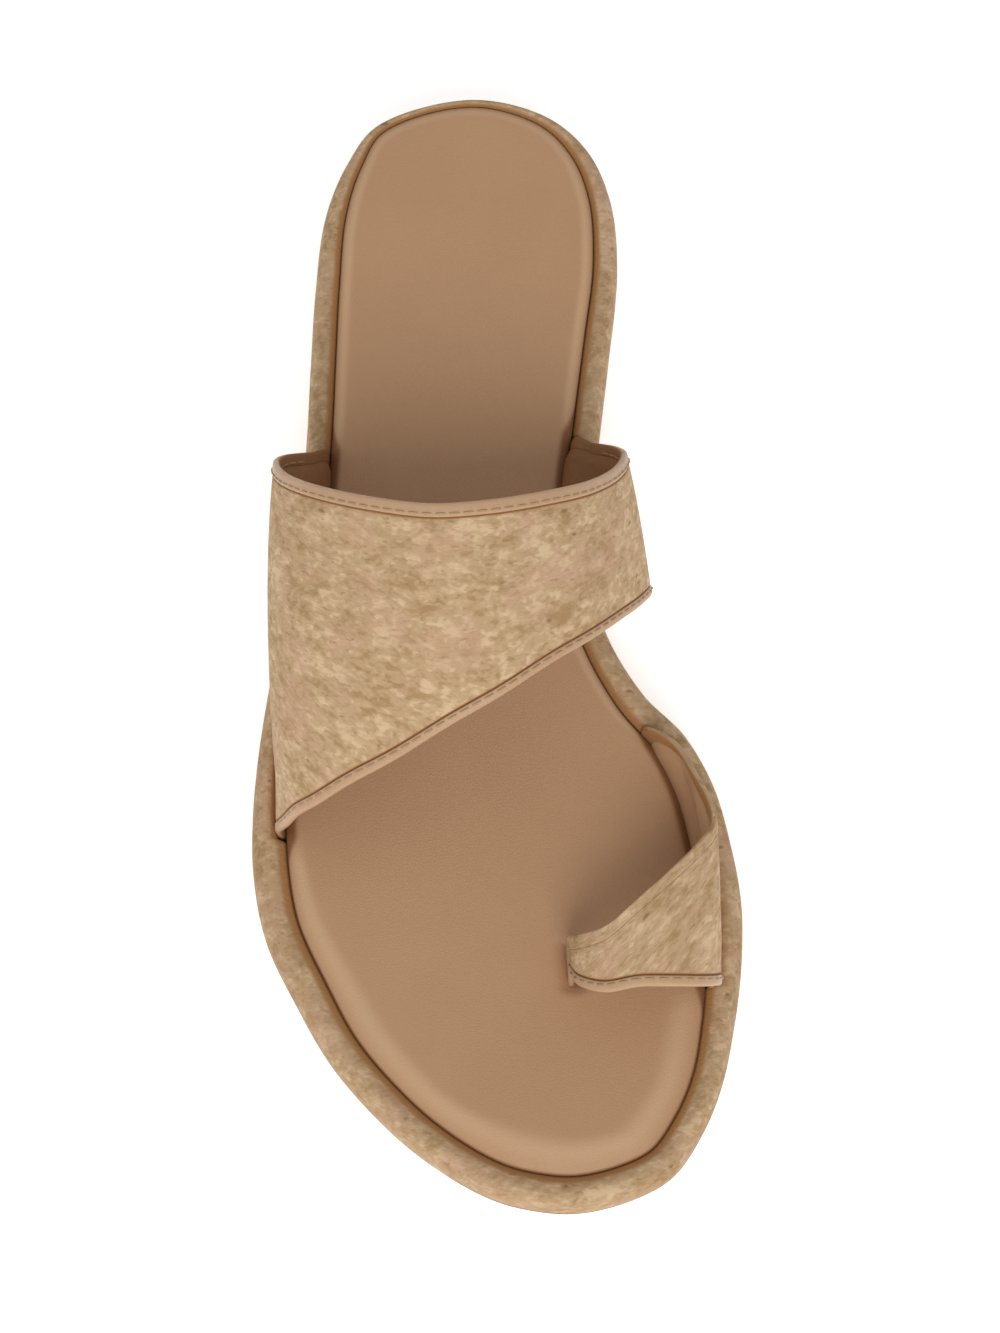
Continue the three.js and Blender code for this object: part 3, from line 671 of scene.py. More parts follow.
def make_platform(last, material):
    """Cork-wrapped platform: bulged sides, a rounded rim that makes room for the straps' feet,
    and the bed for the insole."""
    rim = last.outline["rim"]
    count = len(rim)
    full = rim * BED_SHARE
    squeeze = 1 - beside_feet(last, POCKET_FADE) * (1 - (rim - POCKET_ROOM) / full)
    points = []
    shade = []

    def add_ring(inset, height, dark):
        x, s = last.inward(inset)
        points.append(np.stack([x, s, height(s)], axis=1))
        shade.append(np.full(count, dark))

    def side_height(rise):
        def height(s):
            foot = last.underside(s) + last.plate + CLEAR
            return foot + (last.crest(s) - last.round - foot) * rise
        return height

    for inset in WRAP_UNDER:
        add_ring(SIDE_BULGE + inset, side_height(0.0), WRAP_SHADE)
    for inset, rise in dense(SIDE_SECTION + (SIDE_TOP,), SECTION_STEPS):
        add_ring(inset * SIDE_BULGE, side_height(rise + WRAP_LIFT), 0.0)
    for inset, drop in dense(RIM_SECTION, SECTION_STEPS):
        narrowed = inset * rim * (1 + (squeeze - 1) * smoothstep(inset, *POCKET_SPREAD))
        # Painted shade and bounce light down the rim's inner side into the groove
        dark = FLANK_SHADE * float(smoothstep(inset, *FLANK))
        dark += (1 - FLANK_SHADE) * float(smoothstep(inset, *GROOVE_SHADE))
        add_ring(narrowed, lambda s, drop=drop: last.crest(s) - drop * last.round, dark)
    add_ring(full * squeeze, lambda s: last.crest(s) - BED_CORNER * last.bed, 1.0)
    add_ring(full * squeeze + WRAP_BEVEL, last.bed_height, 1.0)
    faces = grid_faces(len(points), count, True)
    faces += sole_cap((len(points) - 1) * count, count)
    faces += [face[::-1] for face in sole_cap(0, count)]
    return make_piece(
        "platform_wrap", last, np.vstack(points), faces, material, shade=np.hstack(shade)
    )


# Insole: lengths in millimetres, shares of the pad, shades from 0 to 1

PAD_RINGS = 26
PAD_STEPS = 3
PAD_CLOSE = 0.985
PAD_GAP = -0.12
PAD_BEVEL = 0.7
# Painted shade on the pad's edge in the groove, beside the straps' feet and round the toe post
PAD_SHADE_REACH = 0.07
UNDER_RINGS = 3
FOOT_SHADE_REACH = 2.9
FOOT_SHADE_CORE = 0.5
FOOT_FADE = 7.71
POST_ROW = 1.5
POST_SINK = 1.2
POST_REACH = (0.2, 2.4)
HOLE_REACH = (0.0, 0.9)
HOLE_SHADE = 0.8


def make_insole(last, ring, material):
    """Padded insole with its rolled edge, pulled down a little where the toe post goes in. Its
    rolled edge carries a painted highlight, with painted shade along its edge in the groove, beside the
    straps' feet and round the post."""
    rim = last.outline["rim"]
    count = len(rim)
    side = rim + PAD_GAP
    points = []
    shade = []

    def add_ring(x, s, z, dark):
        points.append(np.stack([x, s, z], axis=1))
        shade.append(np.full(count, dark))

    # The pad's side down in the groove is painted fully in the shade colour
    x, s = last.inward(side + PAD_BEVEL)
    add_ring(x, s, last.bed_height(s) + CLEAR, 1.0)
    edge_x, edge_s = last.inward(side)
    add_ring(edge_x, edge_s, last.bed_height(edge_s) + CLEAR + PAD_BEVEL, 1.0)
    facing = (count - np.arange(count)) % count
    line_s = (edge_s + edge_s[facing]) / 2
    line_x = (edge_x + edge_x[facing]) / 2
    order = np.argsort(line_s)
    middle_s = np.clip(line_s, MIDDLE_SPAN[0] * last.length, MIDDLE_SPAN[1] * last.length)
    middle_x = np.interp(middle_s, line_s[order], line_x[order])
    reach = np.hypot(middle_x - edge_x, middle_s - edge_s)

    def toward_middle(share):
        return edge_x + (middle_x - edge_x) * share, edge_s + (middle_s - edge_s) * share

    fore = smoothstep(last.outline["s"] / last.length, *PAD_ROLL_SPAN)
    roll_width = PAD_ROLL[0] + (PAD_ROLL[1] - PAD_ROLL[0]) * fore
    roll_drop = PAD_DROP[0] + (PAD_DROP[1] - PAD_DROP[0]) * fore
    beside = beside_feet(last, FOOT_FADE)
    # How far the painted shade reaches in from the edge, further beside the straps' feet
    painted_shade = PAD_SHADE_REACH + (FOOT_SHADE_REACH / roll_width - PAD_SHADE_REACH) * beside
    for roll, drop in dense(PAD_SECTION, PAD_STEPS):
        x, s = toward_middle(roll * roll_width / reach)
        # Painted highlight along the rolled edge, left off beside the straps' feet
        wear_and_highlight = (1 - beside) * math.sin(math.pi * min(1.0, roll)) ** 2
        shade_band = 1 - smoothstep(roll / painted_shade, FOOT_SHADE_CORE * beside, 1.0)
        add_ring(x, s, last.pad_top(x, s) - drop * roll_drop, shade_band - wear_and_highlight)
    rolled = roll_width / reach
    for share in np.linspace(0, PAD_CLOSE, PAD_RINGS + 1)[1:]:
        x, s = toward_middle(rolled + (1 - rolled) * share)
        add_ring(x, s, last.pad_top(x, s), 0.0)
    everything = np.vstack(points)
    foot = np.full(2, 1 - POST_ROW / ring.rows)
    low_x = float(ring.at(foot, np.array([0.0, 1.0]), np.zeros(2))[:, 0].min())
    high_x = low_x + last.wall
    low_s, high_s = sorted(row[0] * last.length for row in RING_ROWS[-1][:2])
    gap_x = np.maximum(np.maximum(low_x - everything[:, 0], everything[:, 0] - high_x), 0)
    gap_s = np.maximum(np.maximum(low_s - everything[:, 1], everything[:, 1] - high_s), 0)
    gap = np.hypot(gap_x, gap_s)
    top = np.arange(len(everything)) >= UNDER_RINGS * count
    everything[:, 2] -= POST_SINK * top * (1 - smoothstep(gap, *POST_REACH))
    dark = np.hstack(shade)
    # Painted shade round the toe post where it goes into the pad
    hole = HOLE_SHADE * top * (1 - smoothstep(gap, *HOLE_REACH))
    dark = np.where(hole > 0, np.maximum(dark, hole), dark)
    faces = grid_faces(len(points), count, True)
    faces += sole_cap((len(points) - 1) * count, count)
    faces += [face[::-1] for face in sole_cap(0, count)]
    return make_piece("insole_pad", last, everything, faces, material, shade=dark)


# Straps: lengths in millimetres, shares of a dip or a wall, shades from 0 to 1

REAR_BAND = 3.0
FRONT_BAND = 2.2
EDGE_WALL = 1.4
EDGE_THIN = (1.5, 6.0)
LINING = 0.75
CORK_ROLL = 0.5
LINING_ROLL = 0.4
# Edge of a layer under its binding: distance past the band, dip, painted shade in the seam's crease
EDGE_ROLL = (
    (-2.00, 0.85, 0.8),
    (-0.10, 0.82, 1.0),
    (0.16, 0.66, 1.0),
    (0.34, 0.30, 0.8),
    (0.55, 0.10, 0.2),
    (0.90, 0.03, 0.0),
    (1.50, 0.00, 0.0),
)
WALL_STATIONS = 34
# Outer half of a binding at the strap's edge: distance from the edge, depth
FOLD_EDGE = (
    (0.00, 0.62),
    (0.09, 0.22),
    (0.38, -0.05),
    (0.90, -0.15),
)
# The same where it ends on the strap: distance past the band, depth
FOLD_BAND = (
    (-0.70, -0.15),
    (-0.18, -0.11),
    (0.02, 0.06),
    (0.06, 0.46),
)
FOLD_CORE = 0.62
FOLD_END = 0.1
FOLD_STEPS = 2
FOLD_INNER = (0.5, 0.9)
PROUD = 0.15
FLUSH = 0.03
# Painted shade on the inner half of the ring's turned cork edge
TURNED_SHADE = 0.5
REAR_STITCHES = 2.25
FRONT_STITCHES = 1.55
# Where the stitches begin and end, in rows of the strap's table from its feet
SEAM_FROM = 3.2
SEAM_TO = 3.4


def wall_section(last, under_roll, top, bottom, roll_on_top, seams):
    """Closed section of a layer of the strap's wall: share, offset, depth and shade of each
    point. Its last argument gives the painted shade in the crease of the rear and the front seam; with
    none at the rear, the layer lies flush there."""
    rear_end = REAR_BAND + EDGE_ROLL[-1][0]
    front_end = FRONT_BAND + EDGE_ROLL[-1][0]
    roll = [(w, drop if seams[0] or w < 0 else 0.0, dark) for w, drop, dark in EDGE_ROLL]
    rear = [(0.0, REAR_BAND + w, drop, dark * seams[0]) for w, drop, dark in roll]
    front = [(1.0, -FRONT_BAND - w, drop, dark * seams[1]) for w, drop, dark in EDGE_ROLL]
    stations = list(rear)
    for k in range(1, WALL_STATIONS):
        share = k / WALL_STATIONS
        stations.append((share, rear_end * (1 - share) - front_end * share, 0.0, 0.0))
    stations += front[::-1]

    def thin(share, offset):
        if 0.0 < share < 1.0:
            return 0.0
        return (last.wall - EDGE_WALL) * (1 - float(smoothstep(abs(offset), *EDGE_THIN)))

    first = []
    second = []
    for share, offset, drop, dark in stations:
        lift = thin(share, offset)
        sink = drop * under_roll
        if roll_on_top:
            first.append((share, offset, top + sink, dark))
            second.append((share, offset, bottom - lift, dark))
        else:
            first.append((share, offset, top - lift, dark))
            second.append((share, offset, bottom - lift - sink, dark))
    return np.array(first + second[::-1])


def fold_section(band, at_front, proud, inside_shade):
    """Closed section of a binding folded round one edge, with painted shade on its half toward the foot.
    """
    half = list(FOLD_EDGE) + [(band + w, t) for w, t in FOLD_BAND]
    half = [(w, max(t, -proud)) for w, t in half]
    outside = dense(half[::-1] + [(w, EDGE_WALL - t) for w, t in half], FOLD_STEPS)
    inside = []
    for w, t in outside:
        deep = min(max(t, FOLD_CORE), EDGE_WALL - FOLD_CORE)
        inside.append((max(w, FOLD_CORE) if w < band - FOLD_END else band, deep))
    share, way = (1.0, -1.0) if at_front else (0.0, 1.0)
    section = []
    for w, t in [*outside, *inside[::-1]]:
        dark = inside_shade * float(smoothstep(t / EDGE_WALL, *FOLD_INNER))
        section.append((share, way * w, t, dark))
    return np.array(section)


def loft_strap(name, strap, section, material, steps, span):
    """A closed section drawn along a strap."""
    u = np.linspace(span[0], span[1], steps + 1)
    count = len(section)
    every_u = np.repeat(u, count)
    width = np.repeat(strap.width(u), count)
    share, offset, depth, dark = (np.tile(section[:, k], steps + 1) for k in range(4))
    w = share * width + offset
    points = strap.at(every_u, w, depth)
    lay = np.stack([np.repeat(strap.run(u), count), w, depth], axis=1)
    faces = grid_faces(steps + 1, count, True)
    half = count // 2
    for end in (0, steps * count):
        for i in range(half - 1):
            a, b = end + i, end + i + 1
            c, d = end + count - 2 - i, end + count - 1 - i
            faces.append((a, b, c, d))
    return make_piece(name, strap.last, points, faces, material, sheet=lay, shade=dark)


STITCH_AROUND = 6
STITCH_SAMPLES = 900
STITCH_DEPTH = -0.15
STITCH_BENDS = (-1.0, -0.82, -0.45, 0.0, 0.45, 0.82, 1.0)
STITCH_LIFT = (-0.16, 0.04, 0.13, 0.15, 0.13, 0.04, -0.16)


def make_stitches(name, strap, rows, material, pitch, half_length, radius):
    """Rows of stitches as little bent tubes lying on a strap. Each row gives the edge it runs
    along, its distance from that edge, its depth, its stretch of the strap and which way it faces."""
    bends = np.array(STITCH_BENDS)
    turns = 2 * math.pi * np.arange(STITCH_AROUND) / STITCH_AROUND
    points = []
    faces = []
    start = 0
    for from_front, inset, depth, span, facing in rows:

        def edge_w(u, from_front=from_front, inset=inset):
            return strap.width(u) - inset if from_front else np.full_like(u, inset)

        u = np.linspace(span[0], span[1], STITCH_SAMPLES)
        line = strap.at(u, edge_w(u), np.full_like(u, depth))
        length = np.r_[0, np.cumsum(np.linalg.norm(np.diff(line, axis=0), axis=1))]
        count = int(length[-1] // pitch)
        middles = (np.arange(count) + 0.5) * length[-1] / count
        at_u = np.interp((middles[:, None] + bends * half_length).ravel(), length, u)
        w = edge_w(at_u)
        raised = depth - facing * np.tile(STITCH_LIFT, count)
        shape = (count, len(bends), 3)
        middle = strap.at(at_u, w, raised).reshape(shape)
        out = strap.normal(at_u, w / strap.width(at_u)).reshape(shape) * facing
        along = np.gradient(middle, axis=1)
        across = np.cross(along, out)
        across /= np.linalg.norm(across, axis=2)[:, :, None]
        sideways = np.cos(turns)[:, None] * across[:, :, None, :]
        upward = np.sin(turns)[:, None] * out[:, :, None, :]
        ring = middle[:, :, None, :] + radius * (sideways + upward)
        points.append(ring.reshape(-1, 3))
        one = len(bends) * STITCH_AROUND
        tube = grid_faces(len(bends), STITCH_AROUND, True)
        tube += [tuple(range(STITCH_AROUND))[::-1], tuple(range(one - STITCH_AROUND, one))]
        for k in range(count):
            faces += [tuple(start + k * one + corner for corner in face) for face in tube]
        start += count * one
    return make_piece(name, strap.last, np.vstack(points), faces, material)


# Materials: sizes of what their patterns show and depths of their relief, in metres

CORK_SWIRL = 0.004
CORK_PUSH = 0.0007
GRANULE = 0.0016
FINE_GRANULE = 0.0007
CORK_PATCH = 0.0042
CORK_CLOUD = 0.016
ROSY_PATCH = 0.012
CORK_DASH = 0.0011
CORK_FLAKE = 0.0017
PIT_SPACING = 0.0052
CORK_DUST = 0.0004
CORK_RELIEF = 0.00007
HIDE_SWIRL = 0.002
HIDE_PUSH = 0.0003
HIDE_CLOUD = 0.030
HIDE_MOTTLE = 0.0022
HIDE_CREASE = 0.0032
HIDE_GRAIN = 0.0007
BINDING_GRAIN = 0.0006
HIDE_RELIEF = 0.00005
RUBBER_CLOUD = 0.014
RUBBER_SPECK = 0.0007
RUBBER_GRAIN = 0.0004
RUBBER_RELIEF = 0.00005
THREAD_RELIEF = 0.00004
# Thread's turns to the metre, and how far the platform's cork goes toward its pits' colour
THREAD_TURNS = 1500.0
PLATFORM_TONE = 0.19


def linear(red, green, blue):
    """Screen colour, each channel from 0 to 255, to the linear colour that Blender mixes."""
    channels = []
    for value in (red, green, blue):
        share = value / 255
        channels.append(share / 12.92 if share <= 0.04045 else ((share + 0.055) / 1.055) ** 2.4)
    return tuple(channels)


class Finish:
    """A material's nodes, laid out one after another."""

    def __init__(self, name, roughness, specular, **sockets):
        self.material = bpy.data.materials.new(name)
        self.material.use_nodes = True
        self.tree = self.material.node_tree
        self.shader = self.tree.nodes["Principled BSDF"]
        self.shader.inputs["Roughness"].default_value = roughness
        self.shader.inputs["Specular IOR Level"].default_value = specular
        for socket, value in sockets.items():
            self.shader.inputs[socket.replace("_", " ")].default_value = value

    def add(self, kind, values=None, **settings):
        """A node with its settings, and its inputs set or linked."""
        node = self.tree.nodes.new("ShaderNode" + kind)
        for name, value in settings.items():
            setattr(node, name, value)
        for key, value in (values or {}).items():
            if isinstance(value, bpy.types.NodeSocket):
                self.tree.links.new(value, node.inputs[key])
            else:
                node.inputs[key].default_value = value
        return node

    def read(self, name):
        """Node that gives what the mesh's points store under a name."""
        return self.add("Attribute", attribute_name=name, attribute_type="GEOMETRY")

    def noise(self, vector, size, detail=3.0, roughness=0.55):
        """Soft mottling whose spots are about size metres across."""
        values = {"Vector": vector, "Scale": 1 / size, "Detail": detail, "Roughness": roughness}
        return self.add("TexNoise", values).outputs["Fac"]

    def cells(self, vector, size, feature="F1", smoothness=None):
        """Irregular cells about size metres across."""
        node = self.add("TexVoronoi", {"Vector": vector, "Scale": 1 / size}, feature=feature)
        if smoothness is not None:
            node.inputs["Smoothness"].default_value = smoothness
        return node

    def math(self, operation, first, second=0.0, third=0.0, clamp=False):
        """A sum on numbers."""
        values = {0: first, 1: second, 2: third}
        return self.add("Math", values, operation=operation, use_clamp=clamp).outputs[0]

    def between(self, value, low, high, to_low=0.0, to_high=1.0):
        """Smooth change from to_low to to_high as value goes from low to high."""
        values = {"Value": value, "From Min": low, "From Max": high}
        values |= {"To Min": to_low, "To Max": to_high}
        return self.add("MapRange", values, interpolation_type="SMOOTHSTEP").outputs["Result"]

    def blend(self, share, first, second):
        """Two colours mixed by a share."""
        values = {0: share, 6: first, 7: second}
        for key in (6, 7):
            if isinstance(values[key], tuple):
                values[key] = (*values[key][:3], 1.0)
        return self.add("Mix", values, data_type="RGBA").outputs[2]

    def stretch(self, vector, x, y, z):
        """Coordinates scaled along each axis."""
        return self.add("VectorMath", {0: vector, 1: (x, y, z)}, operation="MULTIPLY").outputs[0]

    def warp(self, vector, size, reach):
        """Coordinates pushed about by reach metres."""
        swirl = self.add("TexNoise", {"Vector": vector, "Scale": 1 / size, "Detail": 2.0})
        middle = {0: swirl.outputs["Color"], 1: (0.5, 0.5, 0.5)}
        centred = self.add("VectorMath", middle, operation="SUBTRACT")
        push = self.add("VectorMath", {0: centred.outputs[0], "Scale": 2 * reach}, operation="SCALE")
        return self.add("VectorMath", {0: vector, 1: push.outputs[0]}, operation="ADD").outputs[0]

    def bump(self, height, depth, strength):
        """Relief of a height from 0 to 1, depth metres deep."""
        values = {"Height": height, "Distance": depth, "Strength": strength}
        return self.add("Bump", values).outputs["Normal"]

    def finish(self, color, normal, roughness=None):
        """Links the shader's inputs."""
        self.tree.links.new(color, self.shader.inputs["Base Color"])
        self.tree.links.new(normal, self.shader.inputs["Normal"])
        if roughness is not None:
            self.tree.links.new(roughness, self.shader.inputs["Roughness"])
        return self.material


def cork_finish(name, colours, tone):
    """Cork sheet: packed granules, long pale and dark streaks and a few dark pits."""
    skin = Finish(name, 0.82, 0.25)
    cloth = skin.read("sheet").outputs["Vector"]
    shade = skin.read("shade").outputs["Fac"]
    flow = skin.warp(cloth, CORK_SWIRL, CORK_PUSH)
    streak = skin.stretch(flow, 0.6, 1.0, 1.0)
    granule = skin.cells(streak, GRANULE, "SMOOTH_F1", 0.7)
    small = skin.cells(streak, FINE_GRANULE, "SMOOTH_F1", 0.6)
    red = skin.add("SeparateColor", {"Color": granule.outputs["Color"]}).outputs[0]
    green = skin.add("SeparateColor", {"Color": small.outputs["Color"]}).outputs[1]
    patch = skin.noise(streak, CORK_PATCH, 4.0, 0.65)
    broad = skin.noise(cloth, CORK_CLOUD, 2.0)
    mixed = skin.math("MULTIPLY_ADD", red, 0.17, skin.math("MULTIPLY", green, 0.15))
    mixed = skin.math("MULTIPLY_ADD", patch, 0.55, mixed)
    mixed = skin.math("MULTIPLY_ADD", broad, 0.25, mixed)
    tint = skin.between(mixed, 0.33, 0.77)
    pale = tuple(colours.cork_pale)
    middle = tuple(colours.cork)
    deep = tuple(colours.cork_deep)
    low = skin.blend(skin.between(tint, 0.0, 0.5), deep, middle)
    color = skin.blend(skin.between(tint, 0.5, 1.0), low, pale)
    warm = skin.noise(cloth, ROSY_PATCH, 2.0)
    color = skin.blend(skin.between(warm, 0.45, 0.70, 0.0, 0.45), color, tuple(colours.cork_rosy))
    dash = skin.noise(skin.stretch(flow, 0.40, 1.0, 1.0), CORK_DASH, 3.0)
    dark = skin.between(dash, 0.58, 0.70, 0.0, 0.50)
    color = skin.blend(dark, color, tuple(colours.cork_fleck))
    light = skin.between(skin.noise(streak, CORK_FLAKE, 2.0), 0.60, 0.74, 0.0, 0.50)
    color = skin.blend(light, color, pale)
    pit_cell = skin.cells(skin.stretch(flow, 0.55, 1.0, 1.0), PIT_SPACING)
    pit = skin.between(pit_cell.outputs["Distance"], 0.04, 0.13, 0.65, 0.0)
    color = skin.blend(pit, color, tuple(colours.cork_pit))
    if tone:
        color = skin.blend(tone, color, tuple(colours.cork_pit))
    # Painted shade from the shade attribute: warm painted shade and bounce light on the rim's flank and
    # the turned edges, deeper painted shade in the groove and the seams
    painted_shade = skin.between(shade, 0.0, FLANK_SHADE)
    color = skin.blend(painted_shade, color, tuple(colours.flank))
    color = skin.blend(skin.between(shade, FLANK_SHADE, 1.0), color, tuple(colours.groove))
    edge = skin.cells(streak, GRANULE, "DISTANCE_TO_EDGE").outputs["Distance"]
    relief = skin.between(edge, 0.0, 0.16)
    relief = skin.math("MULTIPLY_ADD", skin.noise(cloth, CORK_DUST, 3.0), 0.8, relief)
    relief = skin.math("MULTIPLY_ADD", pit, -0.9, relief)
    normal = skin.bump(relief, CORK_RELIEF, 0.55)
    rough = skin.between(mixed, 0.3, 0.9, 0.90, 0.74)
    return skin.finish(color, normal, rough)


def leather_finish(name, base, deep, painted_shade, wear_and_highlight, gloss, grain):
    """Smooth leather: fine pebbled grain, faint cloudiness, painted shade and a painted highlight."""
    skin = Finish(name, gloss, 0.38, Sheen_Weight=0.06, Sheen_Roughness=0.5)
    cloth = skin.read("sheet").outputs["Vector"]
    shade = skin.read("shade").outputs["Fac"]
    cloud = skin.noise(cloth, HIDE_CLOUD, 3.0)
    fine = skin.noise(cloth, HIDE_MOTTLE, 3.0)
    color = skin.blend(skin.between(cloud, 0.3, 0.7, 0.0, 0.38), tuple(base), tuple(deep))
    color = skin.blend(skin.between(fine, 0.45, 0.75, 0.0, 0.16), color, tuple(deep))
    # Positive shade paints shade in the dark colour
    color = skin.blend(shade, color, tuple(painted_shade))
    # Negative shade paints a highlight in the pale colour
    painted_highlight = skin.math("MULTIPLY", shade, -1.0, clamp=True)
    color = skin.blend(painted_highlight, color, tuple(wear_and_highlight))
    pebble = skin.cells(skin.warp(cloth, HIDE_SWIRL, HIDE_PUSH), grain, "DISTANCE_TO_EDGE")
    pore = skin.between(pebble.outputs["Distance"], 0.0, 0.22)
    crease = skin.noise(skin.stretch(cloth, 1.0, 0.45, 1.0), HIDE_CREASE, 4.0)
    relief = skin.math("MULTIPLY_ADD", crease, 0.6, pore)
    normal = skin.bump(relief, HIDE_RELIEF, 0.55)
    rough = skin.between(fine, 0.3, 0.75, gloss - 0.05, gloss + 0.09)
    return skin.finish(color, normal, rough)


def rubber_finish(name, base):
    """Moulded rubber with a fine matt grain and a little scuffed dust."""
    skin = Finish(name, 0.7, 0.4)
    cloth = skin.read("sheet").outputs["Vector"]
    dust = skin.noise(cloth, RUBBER_CLOUD, 4.0)
    speck = skin.noise(cloth, RUBBER_SPECK, 2.0)
    wear_and_highlight = tuple(value * 0.72 + 0.06 for value in base)
    color = skin.blend(skin.between(dust, 0.4, 0.7, 0.0, 0.35), tuple(base), wear_and_highlight)
    color = skin.blend(skin.between(speck, 0.55, 0.7, 0.0, 0.25), color, wear_and_highlight)
    normal = skin.bump(skin.noise(cloth, RUBBER_GRAIN, 2.0), RUBBER_RELIEF, 0.6)
    return skin.finish(color, normal, skin.between(dust, 0.3, 0.7, 0.62, 0.8))


def thread_finish(name, base):
    """Twisted thread."""
    skin = Finish(name, 0.6, 0.35)
    cloth = skin.read("sheet").outputs["Vector"]
    turns = {"Vector": cloth, "Scale": THREAD_TURNS, "Distortion": 1.0}
    twist = skin.add("TexWave", turns, bands_direction="DIAGONAL")
    dark = tuple(value * 0.7 for value in base)
    color = skin.blend(skin.between(twist.outputs["Fac"], 0.2, 0.8, 0.0, 0.5), tuple(base), dark)
    return skin.finish(color, skin.bump(twist.outputs["Fac"], THREAD_RELIEF, 0.6))


def get_finish(name, make, *args):
    """The material of that name, made once."""
    return bpy.data.materials.get(name) or make(name, *args)


def sandal_leather(context):
    """Leather of the insole and inside the ring."""
    colours = context.scene.sandal_colours
    # The groove colour is the insole edge's painted shade, the pale one its painted highlight
    tones = (colours.leather, colours.leather_deep, colours.groove, colours.leather_painted_highlight)
    return get_finish("insole_hide", leather_finish, *tones, 0.50, HIDE_GRAIN)


def binding_leather(context):
    """Leather of the bindings."""
    colours = context.scene.sandal_colours
    # The lining colour is the painted shade on the bindings' inner half
    tones = (colours.binding, colours.leather, colours.lining, colours.binding)
    return get_finish("binding_hide", leather_finish, *tones, 0.46, BINDING_GRAIN)


def lining_leather_painted_shade(context):
    """Leather inside the instep strap, darkened as painted shade."""
    colours = context.scene.sandal_colours
    tones = (colours.lining, colours.lining_deep, colours.lining_deep, colours.lining)
    return get_finish("lining_hide", leather_finish, *tones, 0.52, HIDE_GRAIN)


def strap_cork(context):
    """Cork of the straps."""
    return get_finish("strap_cork_sheet", cork_finish, context.scene.sandal_colours, 0.0)


def platform_cork(context):
    """Cork of the platform, a little darker."""
    colours = context.scene.sandal_colours
    return get_finish("platform_cork_wrap", cork_finish, colours, PLATFORM_TONE)


def stitch_thread(context):
    """Thread of the straps' seams."""
    return get_finish("stitch_thread", thread_finish, context.scene.sandal_colours.thread)


# Sizes and colours that can be changed

def metres(name, description, default):
    """A length for the sidebar."""
    return FloatProperty(name=name, description=description, default=default, unit="LENGTH", precision=4)


def watts(name, description, default):
    """A lamp's power for the sidebar."""
    return FloatProperty(name=name, description=description, default=default, unit="POWER")


def colour(name, description, red, green, blue):
    """A colour for the sidebar."""
    return FloatVectorProperty(
        name=name,
        description=description,
        default=linear(red, green, blue),
        subtype="COLOR",
        min=0.0,
        max=1.0,
    )


class SandalSizes(bpy.types.PropertyGroup):
    """Lengths that shape the sandal"""

    length: metres("Length", "Sole from heel to toe", PLATFORM_HIGH[1] - PLATFORM_LOW[1])
    ball_width: metres("Ball width", "Width that the plan's shares are taken of", 0.104)
    heel_height: metres("Heel height", "Rim's crest over the floor at the heel", 0.027)
    instep_height: metres("Instep height", "Instep strap's rise over the rim", 0.056)
    ring_height: metres("Ring height", "Toe ring's rise over the rim", 0.027)
    outsole_thickness: metres("Outsole", "Thickness of the rubber plate", 0.0035)
    rim_width: metres("Rim width", "Width of the rolled cork rim", 0.0062)
    rim_round: metres("Rim round", "Height of the rim's rounding", 0.0044)
    bed_depth: metres("Bed depth", "Depth of the bed under the rim's crest", 0.0042)
    strap_wall: metres("Strap wall", "Thickness of the straps", 0.0024)


class SandalStitching(bpy.types.PropertyGroup):
    """Seams of the straps"""

    pitch: metres("Pitch", "From one stitch to the next", 0.0029)
    half_length: metres("Half length", "From a stitch's middle to its end", 0.00112)
    radius: metres("Radius", "Radius of the thread", 0.00017)


class SandalColours(bpy.types.PropertyGroup):
    """Colours of the sandal's materials"""

    cork: colour("Cork", "Middle colour of the cork", 196, 164, 126)
    cork_pale: colour("Pale cork", "Palest granules", 221, 191, 152)
    cork_deep: colour("Deep cork", "Darkest granules", 174, 141, 99)
    cork_rosy: colour("Rosy cork", "Pinkish patches", 206, 165, 138)
    cork_fleck: colour("Flecks", "Short dark streaks", 156, 122, 84)
    cork_pit: colour("Pits", "Small dark pits", 124, 92, 60)
    # Colour of the painted shade and warm bounce light on the rim's inner flank
    flank: colour("Flank", "Rim's warm inner side", 168, 122, 76)
    # Colour of the painted shade in the groove beside the insole, in the seams' creases and beside the
    # straps' feet
    groove: colour("Groove", "Stained edge beside the insole", 134, 88, 50)
    leather: colour("Leather", "Insole's leather", 192, 150, 113)
    leather_deep: colour("Deep leather", "Cloudy patches of the leather", 183, 141, 104)
    # Colour of the painted highlight along the insole's rolled edge
    leather_painted_highlight: colour("Worn leather", "Rolled edge of the insole", 204, 165, 127)
    binding: colour("Binding", "Leather of the bindings", 196, 161, 125)
    # Lining colours: the instep strap's inside leather darkened as painted shade
    lining: colour("Lining", "Leather inside the instep strap", 146, 99, 56)
    lining_deep: colour("Deep lining", "Cloudy patches of the lining", 130, 86, 46)
    rubber: colour("Rubber", "Outsole", 128, 98, 66)
    thread: colour("Thread", "Stitches", 186, 150, 112)
    floor: colour("Floor", "Studio floor", 250, 250, 250)


class SandalStage(bpy.types.PropertyGroup):
    """Camera and lights"""

    lens: FloatProperty(name="Lens", description="Focal length", default=111.05, unit="CAMERA")
    key: watts("Key light", "Power of the front light", 21.8)
    fill: watts("Side light", "Power of the side light", 1.0)
    sky: FloatProperty(name="Sky", description="Strength of the light from all round", default=0.46)
    floor_glow: FloatProperty(name="Floor glow", description="Light of the floor itself", default=0.54)


# Operators

